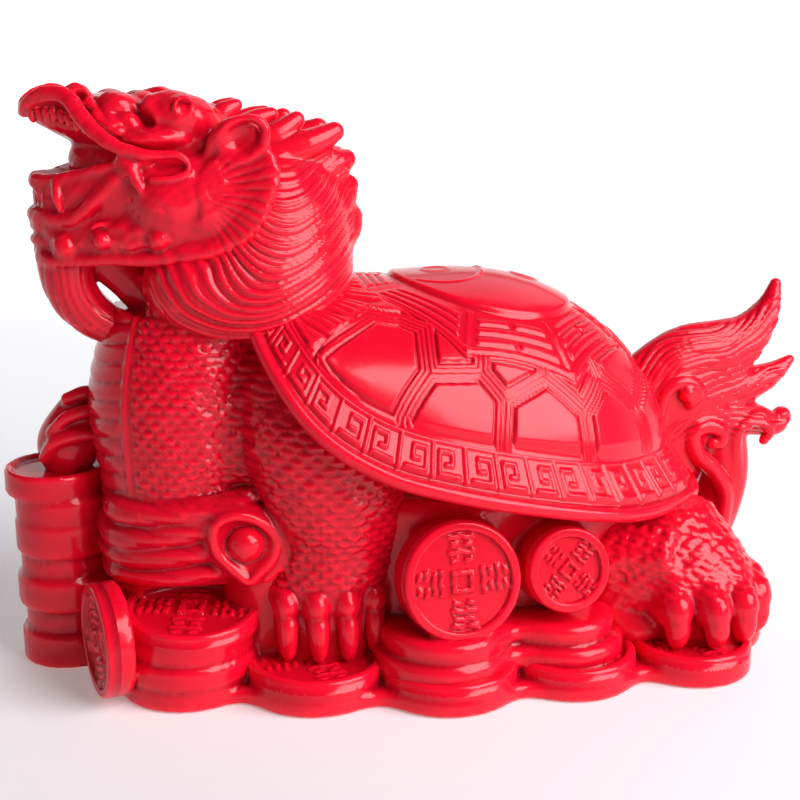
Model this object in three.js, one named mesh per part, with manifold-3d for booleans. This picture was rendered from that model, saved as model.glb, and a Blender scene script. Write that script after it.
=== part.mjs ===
// A dragon turtle cast in one piece, standing on a bed of coins.
// Millimetres, +Z up. The head points along -X, the tail along +X, and the figure's left side is -Y.
import * as THREE from "three";
import { mergeVertices } from "three/addons/utils/BufferGeometryUtils.js";
import Module from "manifold-3d";

const wasm = await Module();
wasm.setup();

// Driving dimensions
const SHELL_CROWN = [8, 0, 78.5];
const SHELL_FLANGE_START = 0.87; // share of the way from the crown to the rim
const SHELL_FLANGE_DROP = 6;
const SHELL_THICKNESS = 5;
const SHELL_UNDERSIDE = 40;
const SHELL_HEART = new THREE.Vector3(10, 0, 45);
// Distances from the crown to the rim at which the shell's rings of facets lie
const SHELL_SHARES = [0, 0.26, 0.46, 0.62, 0.74, 0.82, 0.87, 0.93, 1];
const DISC_CENTRE = [16.5, 0, 75.6];
const DISC_RADIUS = 20.5;
const DISC_TILT = 0.19;
const BED_TOP = 6.5;
const COIN_RIM = 1.6;
const COIN_SINK = 1;
const RED = 0xd0101c;

const X = new THREE.Vector3(1, 0, 0);
const Y = new THREE.Vector3(0, 1, 0);
const Z = new THREE.Vector3(0, 0, 1);
const LEFT = -1;
const RIGHT = 1;

// A closed geometry as a solid that can be joined and cut. A mirrored one has its faces turned
// outwards again.
function solid(geometry) {
  const bare = geometry.index ? geometry.toNonIndexed() : geometry.clone();
  bare.deleteAttribute("normal");
  bare.deleteAttribute("uv");
  const merged = mergeVertices(bare, 1e-4);
  const vertProperties = new Float32Array(merged.attributes.position.array);
  const corners = Uint32Array.from(merged.index.array);
  const made = (triVerts) => new wasm.Manifold(new wasm.Mesh({ numProp: 3, vertProperties, triVerts }));
  const first = made(corners);
  return first.volume() > 0 ? first : made(corners.slice().reverse());
}

const joined = (solids) => wasm.Manifold.union(solids.flat(Infinity));

// Builds a form on the left side and again on the right side
const bothSides = (build) => [LEFT, RIGHT].map(build);

// Moves each vertex of a geometry to where place(x, y, z) says
function reshaped(geometry, place) {
  const at = geometry.getAttribute("position");
  for (let i = 0; i < at.count; i++) {
    const { x, y, z } = place(at.getX(i), at.getY(i), at.getZ(i));
    at.setXYZ(i, x, y, z);
  }
  return geometry;
}

// A round-sectioned form along a smooth line. Each station is [x, y, z, half width, half depth],
// and the width lies along the direction named by across.
function limb(stations, { sides = 8, steps = 8, across = Y } = {}) {
  const points = stations.map(([x, y, z]) => new THREE.Vector3(x, y, z));
  const sizes = stations.map(([, , , wide, deep = wide]) => new THREE.Vector3(wide, deep, 0));
  const line = new THREE.CatmullRomCurve3(points, false, "catmullrom");
  const size = new THREE.CatmullRomCurve3(sizes, false, "catmullrom");
  const tube = new THREE.CylinderGeometry(1, 1, 1, sides, steps);
  return solid(
    reshaped(tube, (x, y, z) => {
      const t = y + 0.5;
      const tangent = line.getTangent(t);
      const wide = across.clone().addScaledVector(tangent, -across.dot(tangent)).normalize();
      const deep = wide.clone().cross(tangent);
      const half = size.getPoint(t);
      return line
        .getPoint(t)
        .addScaledVector(wide, x * half.x)
        .addScaledVector(deep, z * half.y);
    }),
  );
}

// An ellipsoid with the given half sizes, turned about X, Y and Z in degrees
function blob(centre, half, { turn = [0, 0, 0], sides = 10, rings = 6 } = {}) {
  const [a, b, c] = turn.map(THREE.MathUtils.degToRad);
  const ball = new THREE.SphereGeometry(1, sides, rings)
    .rotateX(Math.PI / 2)
    .scale(...half)
    .applyMatrix4(new THREE.Matrix4().makeRotationFromEuler(new THREE.Euler(a, b, c)))
    .translate(...centre);
  return solid(ball);
}

// Puts a geometry made round +Z at a point, with +Z turned to face along a direction
function placed(geometry, centre, facing = [0, 0, 1]) {
  const turn = new THREE.Quaternion().setFromUnitVectors(Z, new THREE.Vector3(...facing).normalize());
  return geometry.applyQuaternion(turn).translate(...centre);
}

// A turned form standing on its centre, from a profile of [radius, height] pairs
function turned(profile, centre, { facing, sides = 12 } = {}) {
  const line = [[0, profile[0][1]], ...profile, [0, profile.at(-1)[1]]];
  const body = new THREE.LatheGeometry(
    line.map(([r, h]) => new THREE.Vector2(r, h)),
    sides,
  ).rotateX(Math.PI / 2);
  return solid(placed(body, centre, facing));
}

// The upper edge of a coin: its wall, a raised rim and the sunk field inside it
const coinEdge = (radius, low, high) => [
  [radius, low],
  [radius, high],
  [radius - COIN_RIM, high],
  [radius - COIN_RIM, high - COIN_SINK],
];

// A standing cash coin with a square boss in the middle
function standingCoin(radius, depth, centre, facing) {
  const half = radius * 0.2;
  const boss = new THREE.BoxGeometry(half * 2, half * 2, 1.6).translate(0, 0, depth - 0.8);
  return [turned(coinEdge(radius, 0, depth), centre, { facing }), solid(placed(boss, centre, facing))];
}

// The shell's rim: half of it is given, from the tail to the neck, and the other half mirrors it
const RIM_HALF = [
  [66, 0, 31],
  [62, 17, 30.5],
  [50, 29, 31.5],
  [36, 37, 33.5],
  [18, 41, 37.5],
  [0, 41.5, 42],
  [-15, 40, 47],
  [-27, 36, 55],
  [-34.5, 28, 66],
  [-38, 15, 77],
  [-38, 0, 82],
];
const rim = new THREE.CatmullRomCurve3(
  [
    ...RIM_HALF.map(([x, y, z]) => new THREE.Vector3(x, -y, z)),
    ...RIM_HALF.slice(1, -1)
      .reverse()
      .map(([x, y, z]) => new THREE.Vector3(x, y, z)),
  ],
  true,
  "catmullrom",
);

// A point of the shell: s runs once round the rim from the tail, and share from the crown to the rim
function shellPoint(s, share) {
  const edge = rim.getPoint(s);
  const [x, y, crown] = SHELL_CROWN;
  const foot = edge.z + SHELL_FLANGE_DROP;
  const inner = Math.min(share / SHELL_FLANGE_START, 1);
  const fall = 1 - (1 - inner ** 2.3) ** 0.55;
  const outer = Math.max(share - SHELL_FLANGE_START, 0) / (1 - SHELL_FLANGE_START);
  return new THREE.Vector3(
    x + (edge.x - x) * share,
    y + (edge.y - y) * share,
    crown + (foot - crown) * fall - SHELL_FLANGE_DROP * outer,
  );
}

function shell() {
  const dome = new THREE.SphereGeometry(1, 28, 11);
  const rings = 11;
  const upper = 8;
  return solid(
    reshaped(dome, (x, y, z) => {
      const s = (Math.atan2(-z, x) / (2 * Math.PI) + 1) % 1;
      const ring = Math.round((Math.acos(THREE.MathUtils.clamp(y, -1, 1)) / Math.PI) * rings);
      if (ring <= upper) {
        return shellPoint(s, SHELL_SHARES[ring]);
      }
      const share = ring === upper + 1 ? 1 : (rings - ring) / (rings - upper - 1);
      const point = shellPoint(s, share);
      point.z = THREE.MathUtils.lerp(SHELL_UNDERSIDE, rim.getPoint(s).z - SHELL_THICKNESS, share);
      return point;
    }),
  );
}

// A raised plate lying on the shell, with its corners as [s, share]
function plate(corners, lift) {
  const edge = corners.flatMap(([s, share], i) => {
    const [nextS, nextShare] = corners[(i + 1) % corners.length];
    const far = Math.abs(nextS - s) > 0.04 || Math.abs(nextShare - share) > 0.1;
    return far ? [[s, share], [(s + nextS) / 2, (share + nextShare) / 2]] : [[s, share]];
  });
  const count = edge.length;
  const sum = corners.reduce(([a, b], [s, share]) => [a + s, b + share], [0, 0]);
  const middle = sum.map((total) => total / corners.length);
  return solid(
    reshaped(new THREE.CylinderGeometry(1, 1, 1, count, 1), (x, y, z) => {
      const turn = (Math.atan2(x, z) / (2 * Math.PI) + 1) % 1;
      const [s, share] = Math.hypot(x, z) < 0.5 ? middle : edge[Math.round(turn * count) % count];
      const point = shellPoint((s + 1) % 1, share);
      const out = point.clone().sub(SHELL_HEART).normalize();
      return point.addScaledVector(out, y > 0 ? lift : -2);
    }),
  );
}

// Scutes round the left side of the shell, from the front to the tail
const SCUTES = [
  [
    [0.343, 0.62],
    [0.296, 0.63],
    [0.286, 0.74],
    [0.305, 0.85],
    [0.335, 0.84],
    [0.36, 0.82],
  ],
  [
    [0.271, 0.78],
    [0.237, 0.76],
    [0.226, 0.81],
    [0.231, 0.86],
    [0.285, 0.86],
  ],
  [
    [0.209, 0.79],
    [0.185, 0.77],
    [0.171, 0.81],
    [0.173, 0.86],
    [0.216, 0.86],
  ],
  [
    [0.148, 0.8],
    [0.12, 0.75],
    [0.09, 0.79],
    [0.088, 0.86],
    [0.155, 0.86],
  ],
];

function shellCarving() {
  const mirrored = (corners) => corners.map(([s, share]) => [1 - s, share]).reverse();
  const scutes = SCUTES.flatMap((corners) => [plate(corners, 1), plate(mirrored(corners), 1)]);
  const disc = turned(
    [
      [DISC_RADIUS, -4],
      [DISC_RADIUS, 0],
      [DISC_RADIUS * 0.62, 2.6],
      [DISC_RADIUS * 0.25, 3.8],
    ],
    DISC_CENTRE,
    { facing: [Math.sin(DISC_TILT), 0, Math.cos(DISC_TILT)], sides: 16 },
  );
  return [scutes, disc];
}

function chestAndNeck() {
  return limb(
    [
      [-48, 0, 14, 17, 15],
      [-48, 0, 30, 17, 15.5],
      [-48, 0, 42, 18.5, 16.5],
      [-47.5, 0, 56, 19, 18.5],
      [-45, 0, 67, 17.5, 17.5],
      [-40, 0, 78, 16, 15],
      [-37, 0, 90, 16, 15],
      [-37, 0, 102, 14, 13],
    ],
    { sides: 10, steps: 7 },
  );
}

function mane() {
  const mass = limb(
    [
      [-29, 0, 108, 11, 12],
      [-30, 0, 100, 18, 17.5],
      [-31, 0, 90, 23, 20],
      [-32.5, 0, 80, 25, 21],
      [-36, 0, 72, 22, 17],
      [-38, 0, 68, 15, 10],
    ],
    { sides: 12, steps: 6 },
  );
  return [mass];
}

function body() {
  const core = new THREE.CylinderGeometry(0.86, 1, 40, 14).rotateX(Math.PI / 2).translate(0, 0, 20);
  return [
    solid(core.scale(54, 29, 1).translate(10, 0, 0)),
    blob([-42, 0, 20], [20, 19, 19.5], { sides: 8, rings: 4 }),
  ];
}

// A toe that bulges at the knuckle and curves down to a claw
function toe([x, y, z], side, size, foot) {
  return limb(
    [
      [x, y - 4 * side, z + 0.6, size * 1.25],
      [x, y - side, z + 0.6, size * 1.35, size * 1.2],
      [x, y + 1.6 * side, (z + foot) / 2, size * 0.85],
      [x, y + 0.3 * side, foot, size * 0.35],
    ],
    { sides: 5, steps: 3, across: X },
  );
}

function frontLeg(side) {
  const leg = limb(
    [
      [-27, 15 * side, 58, 12, 11],
      [-24, 19 * side, 50, 14, 12.5],
      [-20.5, 20 * side, 40, 14.5, 11.5],
      [-19.5, 19.5 * side, 30, 12.5, 10],
      [-21.5, 19 * side, 19, 12, 9.5],
      [-22, 19 * side, 6, 12, 8.5],
    ],
    { sides: 8, steps: 5, across: X },
  );
  const toes = [
    [-31.4, 24.5],
    [-25.7, 27],
    [-19.8, 27.5],
    [-13.8, 25.5],
  ].map(([x, y]) => toe([x, y * side, 18.5], side, 2.6, 6.5));
  return [leg, toes, blob([-33, 12 * side, 50], [13, 10, 20], { sides: 7, rings: 4 })];
}

function rearLeg(side) {
  const leg = limb(
    [
      [50, 26 * side, 22, 15, 9],
      [55, 30 * side, 15.5, 13, 10],
      [58, 31.5 * side, 5, 12, 9],
    ],
    { sides: 8, steps: 3, across: X },
  );
  const toes = [
    [46.5, 38.5],
    [54, 41],
    [61, 39.5],
    [66.5, 35],
  ].map(([x, y]) => toe([x, y * side, 15], side, 3, 5.5));
  const haunch = blob([49, 21 * side, 20], [18, 14, 11], { sides: 8, rings: 5 });
  const heel = blob([69.5, 28 * side, 9], [4, 5, 4], { sides: 5, rings: 4 });
  return [leg, toes, haunch, heel];
}

function head() {
  const skull = blob([-43, 0, 104.5], [13, 14, 10], { sides: 9, rings: 6, turn: [0, 8, 0] });
  const muzzle = limb(
    [
      [-44, 0, 104, 15, 6],
      [-56, 0, 107.5, 12, 5.5],
      [-65, 0, 112, 9.5, 5],
      [-72, 0, 114, 6.5, 3.6],
    ],
    { sides: 8, steps: 4 },
  );
  const jaw = limb(
    [
      [-42, 0, 95, 15, 8],
      [-54, 0, 95, 13.5, 7.5],
      [-64, 0, 95, 10.5, 7],
      [-71, 0, 96, 7.5, 5.5],
      [-74, 0, 96.5, 5.5, 4.5],
    ],
    { sides: 9, steps: 5 },
  );
  const throat = limb(
    [
      [-46, 0, 100, 13, 9],
      [-58, 0, 101, 10.5, 8],
      [-65.5, 0, 103, 7, 6],
    ],
    { sides: 6, steps: 2 },
  );
  return [skull, muzzle, jaw, throat, bothSides(headSide)];
}

// What the head carries on each side
function headSide(side) {
  const small = { sides: 6, rings: 4 };
  return [
    blob([-65, 5 * side, 116], [3.4, 3, 2.8], small),
    blob([-49, 9.5 * side, 113], [6.5, 4.5, 4.3], { turn: [0, 12, 0], sides: 8, rings: 5 }),
    lip(side),
    limb(
      [
        [-57, 14.5 * side, 105, 2.1],
        [-56.3, 16.3 * side, 101.5, 1.8],
        [-55, 16.5 * side, 98, 0.6],
      ],
      { sides: 4, steps: 2 },
    ),
    blob([-52, 10.5 * side, 97], [13, 6, 8], { sides: 8, rings: 5 }),
    blob([-52, 13.5 * side, 90.3], [4, 3.4, 3.4], small),
    blob([-70, 6.5 * side, 89.5], [3.6, 3, 3.6], { sides: 5, rings: 4 }),
    ear(side),
    ruff(side),
    lock(side),
    blob([-25, 7 * side, 110], [3, 3, 3.4], { sides: 6, rings: 4 }),
  ];
}

// The raised edge of the upper lip, which loops down behind the corner of the mouth
function lip(side) {
  return limb(
    [
      [-75, 0, 112, 1.7],
      [-73, 4.5 * side, 115, 1.8],
      [-69, 8 * side, 116.6, 1.8],
      [-64.5, 10.5 * side, 113.8, 1.8],
      [-61.5, 13 * side, 109.5, 1.8],
      [-56, 15.5 * side, 106, 1.7],
      [-47.5, 17 * side, 105, 1.6],
      [-43.5, 17 * side, 102.5, 1.5],
      [-43.5, 17 * side, 98, 1.5],
      [-39, 17.5 * side, 95, 1.2],
    ],
    { sides: 4, steps: 12 },
  );
}

function ear(side) {
  const turn = [20 * side, 35, 0];
  const cup = blob([-36.5, 17 * side, 108], [4.8, 3.2, 6.4], { turn, sides: 8, rings: 5 });
  const hollow = blob([-37.5, 20.2 * side, 108.3], [3, 2.8, 4.6], { turn, sides: 6, rings: 4 });
  return cup.subtract(hollow);
}

// Pointed locks that fan out behind the cheek, as one leaf
const RUFF_INNER = 12.5;

function ruff(side) {
  const edge = [
    [-36, 104.5],
    [-31.3, 105.5],
    [-33.5, 102.5],
    [-31, 100],
    [-33.8, 97.5],
    [-32, 94.5],
    [-35.5, 93],
    [-36, 89.5],
    [-40, 89.8],
    [-43, 86.8],
    [-48, 88],
    [-50, 104],
  ];
  const leaf = new THREE.ExtrudeGeometry(new THREE.Shape(edge.map(([x, z]) => new THREE.Vector2(x, z))), {
    depth: 7,
    bevelEnabled: false,
  });
  const thin = reshaped(leaf, (x, y, z) => {
    const out = RUFF_INNER + z + 0.14 * (x + 50);
    return new THREE.Vector3(x, -out * side, y);
  });
  return solid(thin);
}

// A rounded lock that stands up along the top of the mane
function lock(side) {
  return limb(
    [
      [-38, 8 * side, 107, 3.5, 4],
      [-29, 9 * side, 106.5, 5, 5],
      [-20, 9 * side, 106, 4, 4],
      [-14.5, 8 * side, 108.5, 2.2],
    ],
    { sides: 6, steps: 4 },
  );
}

function beard() {
  return limb(
    [
      [-67, 0, 92, 7, 6],
      [-68.3, 0, 85, 7, 5.6],
      [-67.5, 0, 79.5, 6.5, 4.8],
      [-64, 0, 74, 6, 4],
      [-57, 0, 70, 6, 3.6],
      [-49, 0, 70, 6, 3.6],
    ],
    { sides: 8, steps: 8 },
  );
}

// Cloud bands that lap round the foot of the chest and end in a curl
function clouds() {
  const band = (low, reach, thick) =>
    limb(
      [
        [-36, -19, low + 4, thick * 0.7, thick],
        [-46, -19.5, low + 2, thick, thick],
        [-58, -14, low + 0.5, thick, thick],
        [-reach + thick, 0, low, thick, thick],
        [-58, 14, low + 0.5, thick, thick],
        [-46, 19.5, low + 2, thick, thick],
        [-36, 19, low + 4, thick * 0.7, thick],
      ],
      { sides: 4, steps: 7, across: Z },
    );
  const curls = bothSides((side) => {
    const facing = [-0.2, side, 0.2];
    return [
      turned([[7, 0], [6.6, 4.6], [4.2, 3.6]], [-38.5, 18 * side, 31], { facing, sides: 9 }),
      blob([-38.7, 23 * side, 31.8], [3, 2.6, 3], { sides: 6, rings: 4 }),
    ];
  });
  return [band(34, 66, 3.1), band(27.5, 67, 3.2), band(21, 66.5, 3.2), curls];
}

function tail() {
  const flame = (stations, steps) => limb(stations, { sides: 6, steps });
  return [
    flame(
      [
        [50, 0, 42, 6, 9],
        [58, 0, 50, 6, 9.5],
        [66, 0, 55, 6, 9.5],
        [74, 0, 57.5, 5.5, 8],
        [81, 0, 61, 4.5, 5.5],
        [86, 0, 67, 3, 3],
        [87.8, 0, 73, 1.4, 1.4],
      ],
      8,
    ),
    flame(
      [
        [66, 0, 48, 6, 7],
        [75, 0, 50, 5, 6],
        [82, 0, 50, 4, 4.3],
        [88.5, 0, 52.2, 2.6, 2.6],
        [93.5, 0, 55.5, 1.2, 1.2],
      ],
      5,
    ),
    flame(
      [
        [68, 0, 43, 5.5, 6],
        [77, 0, 43.5, 5, 5],
        [84, 0, 41.5, 4, 3.8],
        [89.5, 0, 40, 3.4, 3],
        [93, 0, 41.5, 1.8, 1.8],
      ],
      5,
    ),
    flame(
      [
        [66, 0, 6, 8, 7],
        [73.5, 0, 17, 6.5, 6],
        [77.5, 0, 28, 5.5, 5.5],
        [76.5, 0, 38, 5, 6],
        [73, 0, 46, 5, 6],
      ],
      5,
    ),
    blob([64, 0, 39], [10, 6, 13], { sides: 8, rings: 5 }),
    bothSides((side) => [
      blob([67, 5 * side, 48.8], [3, 2.6, 3], { sides: 6, rings: 4 }),
      blob([73.5, 4.5 * side, 38.5], [3.4, 2.8, 3.4], { sides: 6, rings: 4 }),
    ]),
  ];
}

// Coins lying in a ring under the figure: centre [x, y] on the left side, radius and height
const PAW_COINS = [
  [-25.5, 24.5, 14, 7.2],
  [52, 35.5, 12.6, 6.4],
];
const PLAIN_COINS = [
  [0, 31.5, 14.4, 6.4],
  [26, 33, 13.5, 6.4],
  [64, 12, 11.5, 6.4],
];

function coinBed() {
  const front = new THREE.CylinderGeometry(1, 1, BED_TOP, 12)
    .rotateX(Math.PI / 2)
    .scale(26, 17, 1)
    .translate(-44, 0, BED_TOP / 2);
  const flat = bothSides((side) => [
    PAW_COINS.map(([x, y, radius, height]) => turned(coinEdge(radius, 0, height), [x, y * side, 0])),
    PLAIN_COINS.map(([x, y, radius, height]) => turned([[radius, 0], [radius, height]], [x, y * side, 0])),
  ]);
  const sided = bothSides((side) => [
    turned(
      [[13, 0], [13.2, 5], [12.4, 5], [13, 9.4], [12.2, 9.4], ...coinEdge(12.9, 13.6, 17.2)],
      [-49.5, 16 * side, 0],
    ),
    turned([[13.4, 0], [13.4, 8]], [-1, 29.5 * side, 6]),
    turned([[11.4, 0], [11.4, 8]], [24, 28.5 * side, 6]),
    standingCoin(10.9, 6, [-0.2, 32.5 * side, 24.5], [0, side, 0.2]),
    standingCoin(7.8, 6, [23.4, 32.5 * side, 24], [0, side, 0.2]),
  ]);
  return [solid(front), flat, sided, standingCoin(11.4, 6, [-62.5, -16.2, 12], [-1, -0.17, 0]), coinColumn()];
}

// A column of uneven coins at the front, with an ingot on top
function coinColumn() {
  const layers = [
    [10, 0, 7.5],
    [8.9, 7.5, 12.5],
    [10.3, 12.5, 19.5],
    [9.3, 19.5, 24],
    [10.1, 24, 31.5],
    [9.8, 31.5, 36.5],
  ];
  const walls = layers.flatMap(([radius, low, high]) => [
    [radius, low],
    [radius, high],
  ]);
  return [
    turned(walls, [-71.8, 7, 0], { sides: 10 }),
    turned(coinEdge(10.9, 0, 5.4), [-73, 8, 36.5], { sides: 10 }),
    blob([-71, 8, 46], [7, 6, 6], { sides: 7, rings: 4 }),
    blob([-68.5, 8, 51], [4.5, 5, 6.5], { sides: 7, rings: 4 }),
  ];
}

const figure = joined([
  shell(),
  shellCarving(),
  body(),
  chestAndNeck(),
  mane(),
  head(),
  beard(),
  bothSides(frontLeg),
  bothSides(rearLeg),
  clouds(),
  tail(),
  coinBed(),
]);

// The casting is solid right through, so only its outer skin is kept
const skin = figure.decompose().reduce((most, piece) => (piece.volume() > most.volume() ? piece : most));

// A solid as a three.js geometry
function geometryOf(made) {
  const mesh = made.getMesh();
  return new THREE.BufferGeometry()
    .setAttribute("position", new THREE.BufferAttribute(mesh.vertProperties, 3))
    .setIndex(new THREE.BufferAttribute(mesh.triVerts, 1));
}

const cast = geometryOf(skin);
cast.computeVertexNormals();
cast.computeBoundingBox();
const { min, max } = cast.boundingBox;

const part = new THREE.Group();
const turtle = new THREE.Mesh(
  cast,
  new THREE.MeshStandardMaterial({ color: RED, roughness: 0.3, metalness: 0 }),
);
turtle.name = "dragon_turtle";
turtle.position.set(-(min.x + max.x) / 2, -(min.y + max.y) / 2, -min.z);
part.add(turtle);

export default part;
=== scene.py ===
"""A glossy red resin dragon turtle on a bed of coins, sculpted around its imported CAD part.

Forms are drawn in millimetres in the part's own drawing frame: +Z up, the head along -X, the left side
along -Y. Most are joined as distances on a grid and skinned, and the shell, its rim and the coins' faces
are worked out from formulas. All is symmetric about Y = 0 but the column and the coin at the front.
"""

import math
from collections import namedtuple

import bpy
import numpy as np
from mathutils import Euler, Matrix, Vector


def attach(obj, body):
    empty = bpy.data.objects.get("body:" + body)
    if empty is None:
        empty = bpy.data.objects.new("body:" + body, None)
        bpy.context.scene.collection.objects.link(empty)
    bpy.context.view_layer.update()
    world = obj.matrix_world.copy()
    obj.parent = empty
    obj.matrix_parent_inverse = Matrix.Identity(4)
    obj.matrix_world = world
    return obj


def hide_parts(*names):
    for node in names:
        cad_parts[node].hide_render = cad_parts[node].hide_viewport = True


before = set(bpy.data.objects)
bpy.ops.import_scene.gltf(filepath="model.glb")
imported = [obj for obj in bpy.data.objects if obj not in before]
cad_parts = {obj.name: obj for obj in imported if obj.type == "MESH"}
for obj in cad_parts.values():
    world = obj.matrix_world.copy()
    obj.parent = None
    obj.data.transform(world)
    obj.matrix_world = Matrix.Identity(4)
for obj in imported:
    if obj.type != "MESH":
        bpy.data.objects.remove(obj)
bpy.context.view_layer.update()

NODE = "dragon_turtle"
MM = 0.001
# X of the box's middle in the drawing frame, which is the origin of the row frame
MIDDLE_X = 5.4
# The distance kept where no shape is near, and how far round a shape its distance is worked out
FAR = 8.0
REACH = 3.0
# Depth at which the faces of one piece are left out inside another
BURIED = 1.6
SIDES = (-1, 1)
ACROSS_X, ACROSS_Y, ACROSS_Z = np.eye(3)


# Curves and noise


def flowing(stations, steps, closed=False):
    """Rows between the stations, on a uniform Catmull-Rom curve through them."""
    rows = np.array(stations, dtype=float)
    before, after = 2 * rows[:1] - rows[1:2], 2 * rows[-1:] - rows[-2:-1]
    padded = np.vstack([rows[-1:], rows, rows[:2]] if closed else [before, rows, after])
    t = np.linspace(0, 1, steps, endpoint=False)[:, None]
    spans = [
        0.5 * (2 * b + (c - a) * t + (2 * a - 5 * b + 4 * c - d) * t**2 + (3 * b - 3 * c + d - a) * t**3)
        for a, b, c, d in zip(padded, padded[1:], padded[2:], padded[3:])
    ]
    return np.vstack(spans if closed else [*spans, rows[-1:]])


def spiral(centre, radii, start_turn, turns, halves, y_rise=0.0, count=14):
    """Stations of a curl in the side view, from its outside in. Turns count anticlockwise in X and Z."""
    share = np.linspace(0, 1, count)
    angle = 2 * math.pi * (start_turn + turns * share)
    radius, half = (first + (last - first) * share for first, last in (radii, halves))
    x, y, z = centre
    places = (x + radius * np.cos(angle), y + y_rise * share, z + radius * np.sin(angle))
    return np.stack([*places, half], axis=1)


def waves(points, length, seed=0.0):
    """Smooth noise from -1 to 1 made of crossing waves, about length mm from crest to crest."""
    k = 2 * math.pi / length
    x, y, z = np.moveaxis(points, -1, 0)
    first = np.sin(k * (0.8 * x + 0.5 * y + 0.3 * z) + seed)
    second = np.sin(k * (-0.4 * x + 0.7 * y + 0.6 * z) * 1.3 + 2.1 * seed + 1.7)
    third = np.sin(k * (0.3 * x - 0.5 * y + 0.9 * z) * 0.7 + 0.7 * seed + 4.0)
    return (first + second + third) / 3


def step_up(value, start, end):
    """0 before start, 1 after end and smooth between them."""
    t = np.clip((value - start) / (end - start), 0, 1)
    return t * t * (3 - 2 * t)


def step_down(value, start, end):
    return 1 - step_up(value, start, end)


def bell(value, width):
    """1 where the value is 0, falling to a third at that width."""
    return np.exp(-((value / width) ** 2))


def side_distance(points, centre):
    """How far points lie from an x and z in the side view."""
    return np.hypot(points[..., 0] - centre[0], points[..., 2] - centre[1])


def ridges(value):
    """Rounded ridges, one to each unit, from 0 in sharp grooves to 1."""
    return np.sqrt(np.abs(np.sin(math.pi * value)))


def unit(vectors):
    return vectors / np.maximum(np.linalg.norm(vectors, axis=-1, keepdims=True), 1e-6)


# Shapes as distances


# A solid form: the corners of its box, and the signed distance to its surface
Shape = namedtuple("Shape", "low high distance")
# Values on a grid, the place of the first one and the step from one to the next
Grid = namedtuple("Grid", "values origin step")
CORNERS = np.array(list(np.ndindex(2, 2, 2)))
EDGES = [(a, a | bit) for bit in (1, 2, 4) for a in range(8) if not a & bit]
THINNEST = 0.1
# How far the outlines of neighbouring coins flow together
LEDGE_FLOW = 8.0


def smooth_least(a, b, blend):
    """The lesser of two distances, rounded where they meet."""
    gap = np.maximum(blend - np.abs(a - b), 0)
    return np.minimum(a, b) - gap * gap / (4 * blend)


def steps_from(centre, place):
    return [values - middle for middle, values in zip(centre, place)]


def run(axis, apart):
    """How far the three parts of a step lead along an axis."""
    return axis[0] * apart[0] + axis[1] * apart[1] + axis[2] * apart[2]


def rounded(shares, sizes):
    """Distance to an ellipsoid, from how far a point is out along each axis as a share of its half size."""
    near = np.sqrt(sum(share * share for share in shares))
    slope = sum(share * share / (size * size) for share, size in zip(shares, sizes))
    return near * (near - 1) / np.sqrt(slope + 1e-9)


def round_edged(side, place, low, high, rounding):
    """Distance to a solid between low and high, from the distance past its side and the place along it."""
    side = side + rounding
    end = np.abs(place - (low + high) / 2) - (high - low) / 2 + rounding
    outer = np.hypot(np.maximum(side, 0), np.maximum(end, 0))
    return outer + np.minimum(np.maximum(side, end), 0) - rounding


def egg(centre, half, turn=(0, 0, 0)):
    """An ellipsoid with those half sizes, turned about X, Y and Z in degrees."""
    axes = np.array(Euler([math.radians(a) for a in turn]).to_matrix()).T
    reach = np.abs(axes.T) @ half

    def distance(*place):
        apart = steps_from(centre, place)
        return rounded([run(axis, apart) / size for axis, size in zip(axes, half)], half)

    return Shape(centre - reach, centre + reach, distance)


def drum(centre, radius, low, high, rounding, facing=(0, 0, 1)):
    """A disc with rounded edges about an axis through its centre, from low to high along the axis."""
    axis = unit(np.array(facing, dtype=float))
    ends = np.array([centre + axis * low, centre + axis * high])
    spread = radius * np.sqrt(np.maximum(1 - axis**2, 0))

    def distance(*place):
        apart = steps_from(centre, place)
        along = run(axis, apart)
        out = np.sqrt(np.maximum(sum(v * v for v in apart) - along * along, 0))
        return round_edged(out - radius, along, low, high, rounding)

    return Shape(ends.min(axis=0) - spread, ends.max(axis=0) + spread, distance)


def slab(circles, low, high, rounding):
    """A level layer whose outline flows round circles of x, y and radius."""
    x, y, radius = np.array(circles, dtype=float).T

    def distance(x, y, z):
        side = np.full(np.broadcast_shapes(x.shape, y.shape), 50.0)
        for centre_x, centre_y, reach in circles:
            side = smooth_least(side, np.hypot(x - centre_x, y - centre_y) - reach, LEDGE_FLOW)
        return round_edged(side, z, low, high, rounding)

    start = np.array([(x - radius).min(), (y - radius).min(), low])
    return Shape(start, np.array([(x + radius).max(), (y + radius).max(), high]), distance)


def section_axes(direction, across):
    """The directions of a bar's width and depth where it runs along that direction."""
    if abs(across @ direction) > 0.94:
        across = np.roll(across, 1)
    wide = across - (across @ direction) * direction
    wide /= np.linalg.norm(wide)
    return wide, np.cross(wide, direction)


def link_distance(start, end, place, across):
    """Distance to one link of a bar, between stations of x, y, z, half width and half depth."""
    length = max(np.linalg.norm(end[:3] - start[:3]), 1e-6)
    direction = (end[:3] - start[:3]) / length
    wide, deep = section_axes(direction, across)
    apart = steps_from(start, place)
    along = run(direction, apart)
    t = np.clip(along / length, 0, 1)
    half_wide, half_deep = (start[i] + (end[i] - start[i]) * t for i in (3, 4))
    sizes = (half_wide, half_deep, np.minimum(half_wide, half_deep))
    outs = (run(wide, apart), run(deep, apart), along - t * length)
    return rounded([out / size for out, size in zip(outs, sizes)], sizes)


def spans_of(axes, low, high):
    """The part of a grid between two corners, as slices."""
    return tuple(slice(*np.searchsorted(axis, ends)) for axis, *ends in zip(axes, low, high))


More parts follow.
